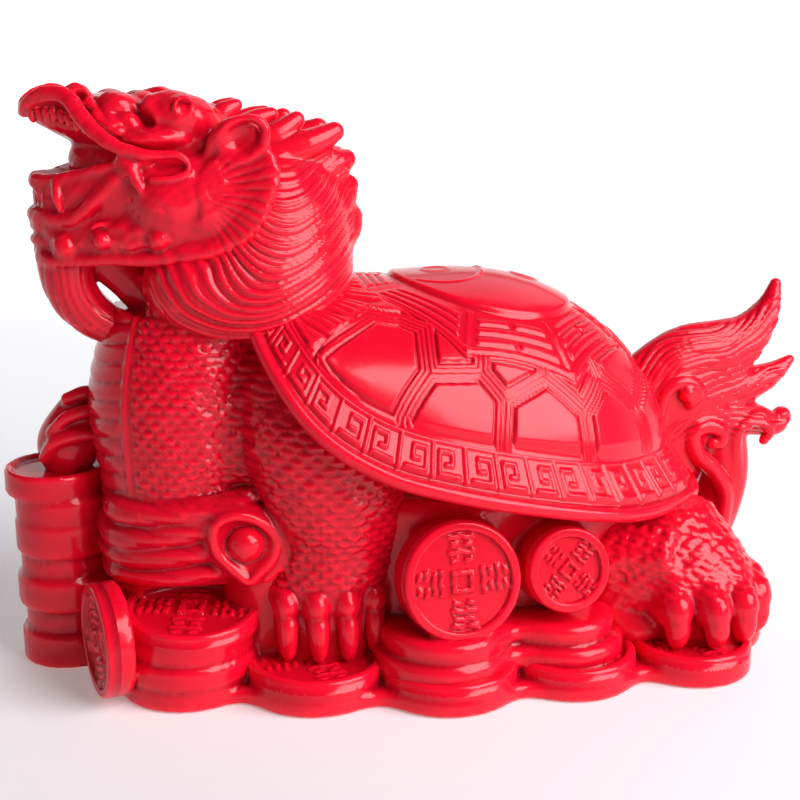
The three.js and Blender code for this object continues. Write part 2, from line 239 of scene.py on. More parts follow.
def bar(*stations, across=ACROSS_Y, steps=5, closed=False):
    """A rounded bar along a smooth line. A station is x, y, z, half width and, if it differs, half depth."""
    line = flowing([[*station, station[3]][:5] for station in stations], steps, closed)
    line[:, 3:] = np.maximum(line[:, 3:], THINNEST)
    if closed:
        line = np.vstack([line, line[:1]])
    reach = line[:, 3:].max(axis=1, keepdims=True)

    def distance(x, y, z):
        found = np.full(np.broadcast_shapes(x.shape, y.shape, z.shape), FAR, dtype=np.float32)
        axes = [values.ravel() for values in (x, y, z)]
        for start, end in zip(line, line[1:]):
            size = max(*start[3:], *end[3:]) + REACH
            spans = spans_of(axes, np.minimum(start, end)[:3] - size, np.maximum(start, end)[:3] + size)
            near = found[spans]
            if near.size:
                place = (x[spans[0]], y[:, spans[1]], z[:, :, spans[2]])
                np.minimum(near, link_distance(start, end, place, across), out=near)
        return found

    return Shape((line[:, :3] - reach).min(axis=0), (line[:, :3] + reach).max(axis=0), distance)


def sampled(grid, points):
    """The grid's values at points, each weighed from the eight samples round it."""
    place = (points - grid.origin) / grid.step
    cell = np.clip(np.floor(place).astype(int), 0, np.array(grid.values.shape) - 2)
    share = np.clip(place - cell, 0, 1)
    total = np.zeros(len(points))
    for corner in CORNERS:
        weight = np.prod(np.where(corner, share, 1 - share), axis=1)
        total += weight * grid.values[tuple((cell + corner).T)]
    return total


class Field:
    """Signed distances on a grid. A field that ends at Y = 0 is mirrored when it is skinned."""

    def __init__(self, low, high, step):
        self.step = step
        self.mirrored = high[1] == 0
        counts = [math.ceil((end - start) / step) for start, end in zip(low, high)]
        starts = (low[0], high[1] - counts[1] * step, low[2])
        self.axes = [(a + step * np.arange(n + 1)).astype(np.float32) for a, n in zip(starts, counts)]
        self.values = np.full([len(axis) for axis in self.axes], FAR, dtype=np.float32)

    def add(self, *parts):
        """Joins each shape in turn, blended over that many mm. With a negative blend it is cut out."""
        for shape, blend in parts:
            sign, blend = (1, blend) if blend > 0 else (-1, -blend)
            reach = max(REACH, blend + 1)
            spans = spans_of(self.axes, shape.low - reach, shape.high + reach)
            near = self.values[spans]
            if near.size:
                place = np.ix_(*(axis[span] for axis, span in zip(self.axes, spans)))
                self.values[spans] = sign * smooth_least(sign * near, shape.distance(*place), blend)

    def whole(self):
        """The grid with the mirrored half put in, closed at its own faces."""
        values = self.values.copy()
        if self.mirrored:
            values = np.concatenate([values, values[:, -2::-1]], axis=1)
        for axis in range(3):
            slices = np.moveaxis(values, axis, 0)
            slices[[0, -1]] = np.maximum(slices[[0, -1]], 0.1)
        return Grid(values, np.array([axis[0] for axis in self.axes], dtype=float), self.step)

    def holds(self, points, depth):
        """Whether each point lies at least that deep inside."""
        grid = self.whole()
        place = (points - grid.origin) / grid.step
        held = ((place > 0) & (place < np.array(grid.values.shape) - 1)).all(axis=1)
        held[held] = sampled(grid, points[held]) < -depth
        return held


# Skins


# A piece before it is made: its points and faces, and the field that they came from, if any
Skin = namedtuple("Skin", "name points faces field", defaults=[None])


def slope_at(grid, points):
    """Unit outward directions of a distance grid at points."""
    steps = 0.7 * grid.step * np.eye(3)
    return unit(np.stack([sampled(grid, points + s) - sampled(grid, points - s) for s in steps], axis=1))


def crossing_points(values, cells):
    """One point in each grid cell that the surface passes through: the mean of its edge crossings."""
    held = np.stack([values[tuple((cells + corner).T)] for corner in CORNERS], axis=1)
    total = np.zeros((len(cells), 3))
    count = np.zeros((len(cells), 1))
    for a, b in EDGES:
        start, end = held[:, a, None], held[:, b, None]
        crossed = (start < 0) != (end < 0)
        t = np.where(crossed, start / np.where(crossed, start - end, 1), 0)
        total += crossed * (CORNERS[a] + t * (CORNERS[b] - CORNERS[a]))
        count += crossed
    return cells + total / count


def grid_faces(values, numbers):
    """A face round each grid edge that the surface crosses, facing outwards."""
    faces = []
    for axes in ((0, 1, 2), (1, 2, 0), (2, 0, 1)):
        inside, number = (np.moveaxis(array, axes, (0, 1, 2)) for array in (values < 0, numbers))
        leaving, entering = inside[:-1, 1:-1, 1:-1], inside[1:, 1:-1, 1:-1]
        for found, turn in ((leaving & ~entering, 1), (~leaving & entering, -1)):
            i, j, k = np.nonzero(found)
            ring = [number[i, j, k], number[i, j + 1, k], number[i, j + 1, k + 1], number[i, j, k + 1]]
            faces.append(np.stack(ring[::turn], axis=1))
    return np.vstack(faces)


def skinned(field, relief=None):
    """Points and faces of a field's surface, with an optional fine relief raised from it."""
    grid = field.whole()
    inside = (grid.values < 0).astype(np.int8)
    windows = (tuple(slice(c, n - 1 + c) for c, n in zip(corner, inside.shape)) for corner in CORNERS)
    count = sum(inside[window] for window in windows)
    active = (count > 0) & (count < 8)
    cells = np.argwhere(active)
    numbers = np.full(active.shape, -1, dtype=np.int32)
    numbers[active] = np.arange(len(cells))
    points = grid.origin + crossing_points(grid.values, cells) * grid.step
    for _ in range(2):
        away = np.clip(sampled(grid, points), -0.4 * grid.step, 0.4 * grid.step)
        points -= slope_at(grid, points) * away[:, None]
    if relief:
        points += slope_at(grid, points) * relief(points)[:, None]
    return points, grid_faces(grid.values, numbers)


def sheet_faces(rows, columns, wrap=False):
    """Faces of a grid of points, row by row. wrap joins the last column to the first."""
    index = np.arange(rows * columns).reshape(rows, columns)
    if wrap:
        index = np.hstack([index, index[:, :1]])
    ring = [index[:-1, :-1], index[1:, :-1], index[1:, 1:], index[:-1, 1:]]
    return np.stack(ring, axis=-1).reshape(-1, 4)


def strip(first, second):
    """Faces between two rings of as many points each."""
    return np.stack([first, np.roll(first, -1), np.roll(second, -1), second], axis=1)


def fan(ring, middle):
    """Triangles between a ring of points and a point in its middle."""
    return np.stack([ring, np.roll(ring, -1), np.full(len(ring), middle)], axis=1)


def triangles_of(quads):
    return np.vstack([quads[:, [0, 1, 2]], quads[:, [0, 2, 3]]])


def facing_out(points, triangles):
    """The triangles of a closed surface, turned over if they face inwards."""
    a, b, c = np.moveaxis(points[triangles] - points.mean(axis=0), 1, 0)
    volume = np.einsum("ij,ij->i", a, np.cross(b, c)).sum()
    return triangles if volume > 0 else triangles[:, ::-1]


def exposed(skin, others):
    """A skin without the faces that lie deep inside the shell or another piece, where nothing shows."""
    hidden = inside_shell(skin.points) if skin.field else np.zeros(len(skin.points), dtype=bool)
    for other in others:
        if other.field and other is not skin:
            hidden |= other.field.holds(skin.points, BURIED)
    faces = skin.faces[~hidden[skin.faces].all(axis=1)]
    used, numbers = np.unique(faces, return_inverse=True)
    return skin._replace(points=skin.points[used], faces=numbers.reshape(faces.shape))


def new_object(name, data):
    made = bpy.data.objects.new(name, data)
    bpy.context.scene.collection.objects.link(made)
    return made


def make_piece(skin, material):
    """A Blender mesh of a skin. It rides on the body and stands for the CAD node."""
    mesh = bpy.data.meshes.new(skin.name)
    mesh.from_pydata(((skin.points - (MIDDLE_X, 0, 0)) * MM).tolist(), [], skin.faces.tolist())
    mesh.validate()
    mesh.shade_smooth()
    mesh.materials.append(material)
    piece = new_object(skin.name, mesh)
    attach(piece, "root")
    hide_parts(NODE)


# Scales


def scales(u, v, pitch):
    """Overlapping round scales in staggered rows, highest at their free tips, which point along -v."""
    row_height = 0.58 * pitch
    radius = 0.62 * pitch
    height = np.zeros_like(u)
    free = np.ones(u.shape, dtype=bool)
    top_row = np.floor((v + radius) / row_height)
    for down in range(3):
        row = top_row - down
        shift = 0.5 * (row % 2)
        across = u - (np.round(u / pitch - shift) + shift) * pitch
        along = v - row * row_height
        out = np.hypot(across, along) / radius
        here = free & (out < 1)
        height = np.where(here, (0.45 - 0.6 * along / radius) * (1 - 0.3 * out**8), height)
        free &= ~here
    return height


def uneven_scales(points, u, v, pitch):
    """Scales whose rows sway and whose heights vary a little, as in a worked casting."""
    u = u + 0.4 * waves(points, 11, 1.0)
    v = v + 0.4 * waves(points, 9, 3.0)
    return scales(u, v, pitch) * (0.85 + 0.35 * waves(points, 6, 2.0))


# Shell


SHELL_CROWN = np.array([8, 0, 78.5])
# Share of the way out to the rim where the flange starts, and its drop from there
FLANGE_START = 0.87
FLANGE_DROP = 6.0
# The rim's edge from the tail to the head, on one side
RIM_HALF = [(66, 0, 31), (62, 17, 30.5), (50, 29, 31.5), (36, 37, 33.5), (18, 41, 37.5), (0, 41.5, 42),
            (-15, 40, 47), (-27, 36, 55), (-34.5, 28, 66), (-38, 15, 77), (-38, 0, 82)]
RIM_LINE = flowing([(x, -y, z) for x, y, z in RIM_HALF] + RIM_HALF[-2:0:-1], 60, closed=True)
# Points along each side of the carapace's grid, and the height of its closed edge
CARAPACE_ROWS = 280
SHELL_EDGE = 2.5
DISC_X = 16.4
DISC_RADIUS = 19.6
OCTAGON_X = 16.0
OCTAGON_RADIUS = 27.3
# How far out from the middle the three rows of bars lie
BAR_ROWS = (21.6, 23.5, 25.4)
# X of the point that the strands on the shell's front fan out from
STRANDS_X = -62
# Corners of the raised walls on the left side, as (turn round the rim, share of the way to it)
WALLS = [
    [(0.299, 0.87), (0.2755, 0.74), (0.284, 0.572), (0.3175, 0.544), (0.3555, 0.568), (0.3765, 0.838),
     (0.375, 0.87)],
    [(0.2755, 0.74), (0.2315, 0.72), (0.2175, 0.784), (0.2235, 0.87)],
    [(0.2315, 0.72), (0.228, 0.66)],
    [(0.2175, 0.784), (0.1805, 0.722), (0.1575, 0.796), (0.1615, 0.87)],
    [(0.1805, 0.722), (0.1765, 0.66)],
    [(0.1575, 0.796), (0.125, 0.73), (0.093, 0.8), (0.092, 0.87)],
    [(0.125, 0.73), (0.12, 0.66)],
    [(0.093, 0.8), (0.05, 0.74), (0, 0.74)],
    [(0.05, 0.74), (0.045, 0.66)],
]


def rim_at(s):
    """Points of the rim at shares s of the way round it from the tail."""
    count = len(RIM_LINE)
    place = (s % 1.0) * count
    low = np.floor(place).astype(int)
    share = (place - low)[..., None]
    return RIM_LINE[low % count] * (1 - share) + RIM_LINE[(low + 1) % count] * share


def shell_at(s, share):
    """Points of the shell's upper surface. share runs from the crown to the rim."""
    s, share = np.broadcast_arrays(np.asarray(s, dtype=float), np.asarray(share, dtype=float))
    edge = rim_at(s)
    inner = np.minimum(share / FLANGE_START, 1)
    fall = 1 - (1 - inner**2.3) ** 0.55
    outer = np.maximum(share - FLANGE_START, 0) / (1 - FLANGE_START)
    points = SHELL_CROWN + (edge - SHELL_CROWN) * share[..., None]
    height = SHELL_CROWN[2] + (edge[..., 2] + FLANGE_DROP - SHELL_CROWN[2]) * fall
    points[..., 2] = height - FLANGE_DROP * outer
    return points


def line_distance(points, line):
    """Least distance from each point to a line of points in space."""
    best = np.full(points.shape[:-1], 1e9)
    for a, b in zip(line, line[1:]):
        along = b - a
        t = np.clip(((points - a) @ along) / max(along @ along, 1e-9), 0, 1)
        gap = points - a - t[..., None] * along
        best = np.minimum(best, np.einsum("...i,...i->...", gap, gap))
    return np.sqrt(best)


def wall_lines():
    """The scute walls of both sides as lines of points on the shell."""
    lines = []
    for corners in WALLS:
        place = np.linspace(0, len(corners) - 1, 6 * len(corners) - 5)
        s, share = (np.interp(place, range(len(corners)), values) for values in zip(*corners))
        lines += [shell_at(s, share), shell_at(1 - s, share)]
    return lines


def frame_profile(away):
    """Height of the lines and the raised plate at a distance from the middle of a wall."""
    lines = 0.42 * bell(away - 0.52, 0.3) + 0.4 * bell(away - 1.45, 0.3) - 0.22 * bell(away - 2.0, 0.28)
    return lines + 0.62 * step_up(away, 2.05, 2.5)


def disc_height(x, y):
    """Height of the domed disc over the shell, with the S curve and the two rings on it."""
    radius = np.hypot(x, y)
    dome = 0.95 + 0.6 * (1 - np.minimum(radius / DISC_RADIUS, 1) ** 2)
    half = DISC_RADIUS / 2
    upper = np.abs(np.hypot(x - half, y) - half) + 9 * (y < 0)
    lower = np.abs(np.hypot(x + half, y) - half) + 9 * (y > 0)
    curve = bell(np.minimum(upper, lower), 0.4) * step_down(radius, DISC_RADIUS - 2.2, DISC_RADIUS - 1.4)
    rings = sum(bell(np.hypot(x - middle, y) - 2.6, 0.4) for middle in (-half, half))
    return dome * step_down(radius, DISC_RADIUS - 1.1, DISC_RADIUS + 0.2) + 0.3 * (curve + rings)


def trigram_height(x, y):
    """Bars on each side of the octagon round the disc, some of them broken, with lines between the sides."""
    turn = np.arctan2(y, x)
    sector = np.round(turn / (math.pi / 4))
    local = turn - sector * math.pi / 4
    out = np.hypot(x, y) * np.cos(local)
    along = np.abs(np.hypot(x, y) * np.sin(local))
    half = out * math.tan(math.pi / 8)
    height = 0
    for row, middle in enumerate(BAR_ROWS):
        line = step_down(np.abs(out - middle), 0.42, 0.75) * step_down(along - half + 1.9, -0.3, 0.1)
        broken = ((sector + 4 + row * 3) % 8) % (2 + row % 2) == 0
        height = height + line * (1 - broken * step_down(along, 0.5, 0.9))
    border = step_down(np.abs(out - OCTAGON_RADIUS + 0.3), 0.25, 0.6)
    return 0.36 * height + 0.3 * border + 0.25 * bell(half - along, 0.35)


def nape_strands(points):
    """Strands that fan out from the mane over the front of the shell."""
    turn = np.arctan2(points[..., 1], points[..., 0] - STRANDS_X)
    sway = 0.012 * np.sin(points[..., 0] / 3.1)
    return 0.3 * (ridges((turn + sway) / 0.034) - 0.4) + 0.7 * ridges((turn - sway) / 0.11)


def carapace_relief(points, s):
    """Height of the carving over the smooth shell."""
    ring = line_distance(points, shell_at(np.linspace(0, 1, 181), FLANGE_START - 0.008))
    nearest = np.min([ring, *(line_distance(points, line) for line in wall_lines())], axis=0)
    x, y = points[..., 0] - OCTAGON_X, points[..., 1]
    octagon = np.max([np.abs(x), np.abs(y), (np.abs(x) + np.abs(y)) * math.sqrt(0.5)], axis=0)
    outside = step_up(octagon, OCTAGON_RADIUS, OCTAGON_RADIUS + 0.7)
    away = np.minimum(nearest, np.maximum(octagon - OCTAGON_RADIUS, 0) + 0.9)
    front_wall = shell_at(np.linspace(0.3765, 0.3555, 12), np.linspace(0.838, 0.568, 12))
    behind = np.min([line_distance(points, front_wall * (1, side, 1)) for side in SIDES], axis=0)
    front = step_up(s, 0.3555, 0.377) * step_down(s, 0.623, 0.6445) * step_up(behind, 0.6, 1.2) * (ring > 1.2)
    plates = outside * (frame_profile(away) * (1 - front) + front * nape_strands(points))
    from_disc = step_up(np.hypot(x, y), DISC_RADIUS + 0.6, DISC_RADIUS + 1.0)
    bars = trigram_height(x, y) * (1 - outside) * from_disc
    return plates + bars + disc_height(points[..., 0] - DISC_X, points[..., 1])


def square_turns(count):
    """A square grid laid over a disc: the turn and share of each of its points."""
    a = np.linspace(-1, 1, count)
    x, y = np.meshgrid(a, a, indexing="ij")
    level = np.abs(x) >= np.abs(y)
    side = np.where(level, y / np.where(x == 0, 1, x), 2 - x / np.where(y == 0, 1, y))
    turn = side / 8 + 0.5 * (np.where(level, x, y) < 0)
    return turn % 1.0, np.maximum(np.abs(x), np.abs(y))


def carapace():
    """The shell's dome with its scutes, the octagon of bars and the disc on the crown, closed below."""
    s, share = square_turns(CARAPACE_ROWS)
    base = shell_at(s, share**0.85 * (FLANGE_START + 0.005))
    normal = unit(np.cross(np.gradient(base, axis=0), np.gradient(base, axis=1)))
    normal = normal * np.sign(normal[..., 2:])
    top = (base + normal * carapace_relief(base, s)[..., None]).reshape(-1, 3)
    index = np.arange(len(top)).reshape(s.shape)
    edge = np.concatenate([index[0, :], index[1:, -1], index[-1, -2::-1], index[-2:0:-1, 0]])
    low = top[edge] - (0, 0, SHELL_EDGE)
    points = np.vstack([top, low, low.mean(axis=0)])
    lower = len(top) + np.arange(len(edge))
    quads = np.vstack([sheet_faces(*s.shape), strip(edge, lower)])
    faces = np.vstack([triangles_of(quads), fan(lower, len(points) - 1)])
    return Skin("carapace", points, facing_out(points, faces))


def inside_shell(points):
    """Whether each point lies deep under the shell's dome and above its closed underside."""
    x, y, z = points.T
    s = np.linspace(0, 1, 721)
    edge = rim_at(s)
    edge_turn = -np.unwrap(np.arctan2(edge[:, 1], edge[:, 0] - SHELL_CROWN[0]))
    turn = -np.arctan2(y, x - SHELL_CROWN[0])
    place = np.interp(edge_turn[0] + (turn - edge_turn[0]) % (2 * math.pi), edge_turn, s)
    rim = rim_at(place)
    share = np.hypot(x - SHELL_CROWN[0], y) / np.hypot(rim[:, 0] - SHELL_CROWN[0], rim[:, 1])
    roof = shell_at(place, np.minimum(share, 1))[:, 2]
    brim = shell_at(place, FLANGE_START)[:, 2] - SHELL_EDGE
    middle = shell_at(s, FLANGE_START)[:, 2].mean() - SHELL_EDGE
    floor = middle + (brim - middle) * np.minimum(share / FLANGE_START, 1)
    return (share < FLANGE_START - 0.04) & (z < roof - 2 * BURIED) & (z > floor + BURIED)


# Rim of the shell


# Points round the rim, rows over its flat band, round its lip and under it, and the length of a hook's unit
RIM_AROUND = 920
BAND_ROWS = 38
LIP_ROWS = 14
UNDER_ROWS = 12
HOOK_LENGTH = 7.3
# The lip's reach and half its height
LIP = 1.7
LIP_HEIGHT = 1.75
# Corners of a hook, along the rim and across it
HOOK = ((-2.2, 1.4), (2.2, 1.4), (2.2, -1.3), (-0.7, -1.3), (-0.7, 0.2), (0.8, 0.2))


def hook_units(s):
    """The place of each share of the rim in mm along it, and the length of one unit of the pattern."""
    lengths = np.linalg.norm(np.diff(RIM_LINE, axis=0, append=RIM_LINE[:1]), axis=1)
    ends = np.concatenate([[0], np.cumsum(lengths)])
    along = np.interp(s * len(RIM_LINE), np.arange(len(ends)), ends)
    return along, ends[-1] / (2 * round(ends[-1] / HOOK_LENGTH / 2))


def meander_height(s, out):
    """A square hook in each unit of the band, every other one mirrored, with lines between the units."""
    along, length = hook_units(s)
    number = np.floor(along / length)
    x = ((along / length - number) * length - length / 2) * np.where(number % 2 < 1, 1, -1)
    best = 9.0
    for (ax, ay), (bx, by) in zip(HOOK, HOOK[1:]):
        dx, dy = bx - ax, by - ay
        t = np.clip(((x - ax) * dx + (out - ay) * dy) / (dx * dx + dy * dy), 0, 1)
        best = np.minimum(best, np.maximum(np.abs(x - ax - t * dx), np.abs(out - ay - t * dy)))
    border = step_down(np.abs(np.abs(x) - length / 2), 0.1, 0.34) * (np.abs(out) < 2.2)
    return np.maximum(step_down(best, 0.12, 0.38), border)


def band_height(s, reach, width):
    """Height of the hooks, the line inside them, the groove outside them and the rise to the lip."""
    flat = width - 2 * LIP
    hooks = meander_height(s, (reach - flat * 0.5 - 0.4) / (np.maximum(flat - 0.6, 1) / 4.6))
    lines = 0.35 * bell(reach - 0.5, 0.35) - 0.3 * bell(reach - flat, 0.5)
    return 0.46 * hooks + lines + 0.9 * step_up(reach, flat, width - LIP)


def shell_rim():
    """The shell's flange: a band of hooks, a rounded lip along its edge and the underside."""
    s = np.arange(RIM_AROUND) / RIM_AROUND
    edge, inner = rim_at(s), shell_at(s, FLANGE_START - 0.01)
    width = np.linalg.norm(edge - inner, axis=1)
    out = unit(edge - inner)
    up = np.cross(out, unit(np.roll(edge, -1, axis=0) - np.roll(edge, 1, axis=0)))
    up *= np.sign(up[:, 2:])
    reach = np.linspace(0, 1, BAND_ROWS)[:, None] * (width - LIP)
    band = inner + out * reach[..., None] + up * band_height(s, reach, width)[..., None]
    bend = np.linspace(0, math.pi, LIP_ROWS)[1:, None, None]
    lip = band[-1] + out * np.sin(bend) * LIP + up * (np.cos(bend) - 1) * LIP_HEIGHT
    t = np.linspace(0, 1, UNDER_ROWS)[1:, None, None]
    under = lip[-1] * (1 - t) + (inner - (0, 0, 4.5) - out * 3) * t
    points = np.concatenate([band, lip, under])
    first = np.arange(RIM_AROUND)
    last = first + (len(points) - 1) * RIM_AROUND
    quads = np.vstack([sheet_faces(len(points), RIM_AROUND, wrap=True), strip(first, last)])
    points = points.reshape(-1, 3)
    return Skin("shell_rim", points, facing_out(points, triangles_of(quads)))


# Head


def jaw_masses(field):
    field.add(
        (egg((-43, 0, 104.5), (13, 14, 10.2), (0, 8, 0)), 2),
        (egg((-43, 0, 109.5), (10, 9, 5.4), (0, 4, 0)), 2),
        # The muzzle and the lower jaw
        (bar((-44, 0, 106.5, 13.5, 6), (-52, 0, 109, 11.6, 5.6), (-59, 0, 111, 9, 5.6),
             (-65, 0, 112.2, 7, 4.5), (-69.5, 0, 113, 5.2, 3.1), (-72.2, 0, 113, 3.2, 1.5)), 1.2),
        (bar((-42, 0, 95, 14.5, 8), (-54, 0, 94, 12.8, 8.2), (-62, 0, 94, 10.4, 8.2), (-67, 0, 94, 8, 7.2),
             (-69.2, 0, 94, 6.4, 5.9)), 1.2),
        (bar((-69.5, -4.2, 97, 2.8, 3.6), (-64, -7.4, 97.8, 3.4, 4.8), (-57, -10.4, 99, 3.8, 5.5),
             (-50, -12.2, 99, 4, 6)), 1.5),
        (bar((-69, -4.6, 90, 3, 3.8), (-63, -7.8, 90.4, 3.6, 4.2), (-56, -10.8, 91.4, 4, 4.8),
             (-48, -13, 93, 4.4, 5.4)), 1.5),
        # The thick lip, the cheek and the floor of the mouth
        (bar((-72.2, -2.2, 99.6, 2.2), (-68.6, -5.4, 99.2, 2.6, 2.8), (-64, -8.2, 99.8, 2.6, 2.9),
             (-58.6, -11.2, 101, 2.6, 3), (-53, -13.2, 102, 2.6, 3.4)), 1.5),
        (egg((-48.8, -14, 97.4), (8, 5.6, 6.6)), 2),
        (egg((-44.6, -14.6, 99.6), (5, 4.2, 6)), 2.5),
        (bar((-46, 0, 101, 12.5, 8), (-54, 0, 102.5, 10, 7), (-61.6, 0, 104, 6.2, 5.6)), 1.5),
    )


def upper_tooth(t):
    """A small tooth at a share of the way back along the upper lip."""
    z = 112.9 + 1.5 * math.sin(math.pi * t * 0.85) - 2.2 * t
    return egg((-73.5 + 7.8 * t, -2.4 - 6.0 * t, z), (0.72, 0.8, 1.5), (0, -14, 0))


def upper_mouth(field):
    field.add(
        # The groove of the gum, and the lip that curls up and back under the eye
        (bar((-73.9, -3.4, 112.7, 0.9), (-71.2, -6.4, 114, 1.2, 1.4), (-67.8, -8.6, 113, 1.3, 1.6),
             (-65.2, -10, 110.2, 1.2, 1.5), (-62.2, -11.4, 107.4, 1.1, 1.2),
             (-58.5, -12.8, 105.6, 0.9)), -0.6),
        (bar((-74.9, 0, 113.2, 0.9, 1.1), (-74.2, -3, 115.2, 0.9, 1.3), (-71.4, -5.4, 116.8, 0.9, 1.4),
             (-68.7, -7, 117.1, 0.9, 1.5), (-66.6, -8.6, 115.9, 0.95, 1.6), (-65, -10.2, 113.2, 1, 1.6),
             (-62.6, -12.2, 110.2, 1, 1.5), (-59.6, -14.2, 107.9, 1.1, 1.3), (-56, -15.6, 106.6, 1.1),
             (-51.5, -16.9, 106.2, 0.9), (-48.6, -17.5, 106.2, 0.9, 0.8), (-46.6, -18, 104.7, 0.8, 0.7),
             (-47.4, -18.4, 102.9, 0.6), (-50.4, -18.4, 102, 0.5),
             (-53.4, -17.4, 101.8, 0.4, 0.3), steps=4), 0.9),
        *((upper_tooth(i / 6), 0.2) for i in range(7)),
        # The fang
        (bar((-57.8, -14, 105, 1.6), (-56.6, -15.4, 102.9, 1.5), (-55.6, -16.4, 100.8, 1),
             (-55, -17, 99, 0.4)), 0.5),
    )


def lower_mouth(field):
    field.add(
        # The lip, the edge of the chin and the crease behind it
        (bar((-74, 0, 100.6, 1, 0.9), (-73.3, -3, 101.1, 1, 0.9), (-70.4, -6.2, 101.2, 1.1, 0.9),
             (-66.2, -9.2, 102.4, 1, 0.9), (-62, -11.8, 103.5, 1, 0.8), (-58.2, -13.6, 104.7, 0.9, 0.8),
             (-54, -15.2, 105.2, 0.8, 0.7)), 1.6),
        (bar((-74.2, 0, 94.5, 1), (-72.4, -4.6, 94.3, 1), (-69.6, -7.6, 93.8, 1), (-67, -9.6, 94.4, 1.1),
             (-63.2, -11.9, 97.8, 1.2), (-60, -13.4, 101, 1.1), (-57.6, -14.2, 103.2, 0.8)), 1.4),
        (bar((-66.4, -11, 92.6, 0.4), (-62.6, -13.6, 96.2, 0.5), (-59.2, -15.2, 99.8, 0.5),
             (-57, -15.8, 102.4, 0.3)), -0.9),
        # The recess behind the front teeth, the teeth, the side tooth and the pocket of the mouth's corner
        (egg((-76, -2, 97.6), (2.7, 4.6, 2.2)), -0.5),
        *((egg((-73.5 + 0.16 * i * i, -0.8 - 1.45 * i, 97.6), (0.75, 0.68, 2.2)), 0.2) for i in range(4)),
        (bar((-69.8, -7.2, 101, 1), (-70.1, -8.2, 98.4, 1), (-69.6, -8.6, 95.8, 0.5)), 0.5),
        (bar((-54.4, -17.4, 103.4, 0.5), (-52, -18.2, 104, 1), (-49.4, -18.8, 104.2, 1.1),
             (-48, -18.8, 104, 0.8)), -0.8),
    )


def eyes_and_nose(field):
    field.add(
        # The brow and the bridge of the nose
        (egg((-46.4, -8.6, 112.6), (6.9, 5.9, 4.5), (0, 8, 0)), 2.2),
        (bar((-52, -12.6, 112.4, 1), (-52.6, -11.2, 114, 1.4), (-51.6, -9.2, 115.4, 1.6),
             (-48, -8, 116.1, 1.4)), 1.3),
        (egg((-57.8, -6.2, 114.6), (4, 4, 2.8), (0, 10, 0)), 2),
        (egg((-53, 0, 115), (3.4, 5.5, 2.4)), 1.4),
        # The eye in its socket, the fold before it, the lid under it and the ring on the brow
        (egg((-55, -12.6, 112), (3.2, 2.6, 2.6), (0, 20, 0)), -1.4),
        (egg((-56.2, -9.8, 111.4), (2.6, 2.2, 2.1), (0, 18, 0)), 0.8),
        (bar((-60, -8.6, 114, 1), (-59.6, -10.4, 112, 1.1), (-58.6, -11.8, 110.4, 0.9)), 1.6),
        (egg((-51.5, -12, 109), (6, 3.4, 1.8)), 1.8),
        (bar(*spiral((-46.5, -14, 114.6), (1.8, 1.5), 0.1, 0.9, (0.5, 0.4))), 0.5),
        # The nostril with its curl, and a wrinkle behind it
        (egg((-65, -4.4, 115.4), (3.2, 2.8, 2.6)), 0.8),
        (bar(*spiral((-64.6, -5.6, 116.2), (2.2, 1.2), 0.6, -0.95, (0.8, 0.55), y_rise=-1.2)), 0.5),
        (egg((-64.9, -7, 116.2), (1.2, 1.6, 1)), -0.4),
        (bar((-63.2, -7.2, 115.6, 1), (-62.2, -8.6, 114.2, 0.7), (-61.8, -9.6, 113, 1),
             (-60.6, -10.8, 111.8, 0.7), (-59.6, -11.6, 111, 0.8)), 0.5),
    )


def ear_shapes(field):
    field.add(
        (egg((-37, -15.6, 108.4), (5.4, 4.2, 4.4)), 1.5),
        (bar((-42.4, -16, 105.9, 1.05), (-41.4, -17.2, 109, 1.05), (-38.6, -18.6, 111.7, 1.05),
             (-34.8, -19.6, 112.5, 1.05), (-32.7, -19.8, 111.2, 1.05), (-32.8, -19.6, 108.4, 1.05),
             (-35, -19.2, 106.2, 1.05), (-38.2, -18.2, 105, 1.05)), 1.1),
        (egg((-37.4, -21, 108.8), (4.6, 3, 2.9), (0, -38, 0)), -1.2),
    )


# The fur behind the cheek: its pointed outer edge and the line that it grows from
RUFF_EDGE = [(-32.4, -19.8, 107), (-31.2, -20.8, 103.6), (-31.6, -21.2, 100), (-33, -21.2, 96.2),
             (-35, -20.8, 92.8), (-38.2, -20, 90), (-42.6, -19, 88.2), (-47.4, -17.4, 87.2)]
RUFF_ROOT = [(-40.4, -17.6, 104.8), (-42.8, -18, 103), (-44.2, -18.4, 100.6), (-44.2, -18.8, 98.2),
             (-43.6, -18.8, 96), (-44.2, -18.4, 94.4), (-46.4, -17.4, 93.4), (-50, -16, 92.4)]
RUFF_LOCKS = 20


def ruff_lock(i, tip, root):
    """One lock of the ruff, from the root to the tip. Every other one reaches a little further."""
    middle = root * 0.5 + tip * 0.5 + (0, 1.1, 0)
    tip = tip + (tip - root) * 0.05 * (i % 2)
    near = tip * 0.75 + middle * 0.25
    return bar((*root, 0.8, 1.2), (*middle, 0.8, 1.2), (*near, 0.8, 1.05), (*tip, 0.5), steps=4)


def ruff_shapes(field):
    tips, roots = flowing(RUFF_EDGE, 8), flowing(RUFF_ROOT, 8)
    places = [round(i * (len(tips) - 1) / (RUFF_LOCKS - 1)) for i in range(RUFF_LOCKS)]
    field.add(
        (egg((-39.2, -14.8, 97.5), (8, 4.4, 10)), 1.2),
        *((ruff_lock(i, tips[place], roots[place]), 1) for i, place in enumerate(places)),
        (bar(*((x, y + 1, z, 1) for x, y, z in RUFF_EDGE)), 1.2),
    )


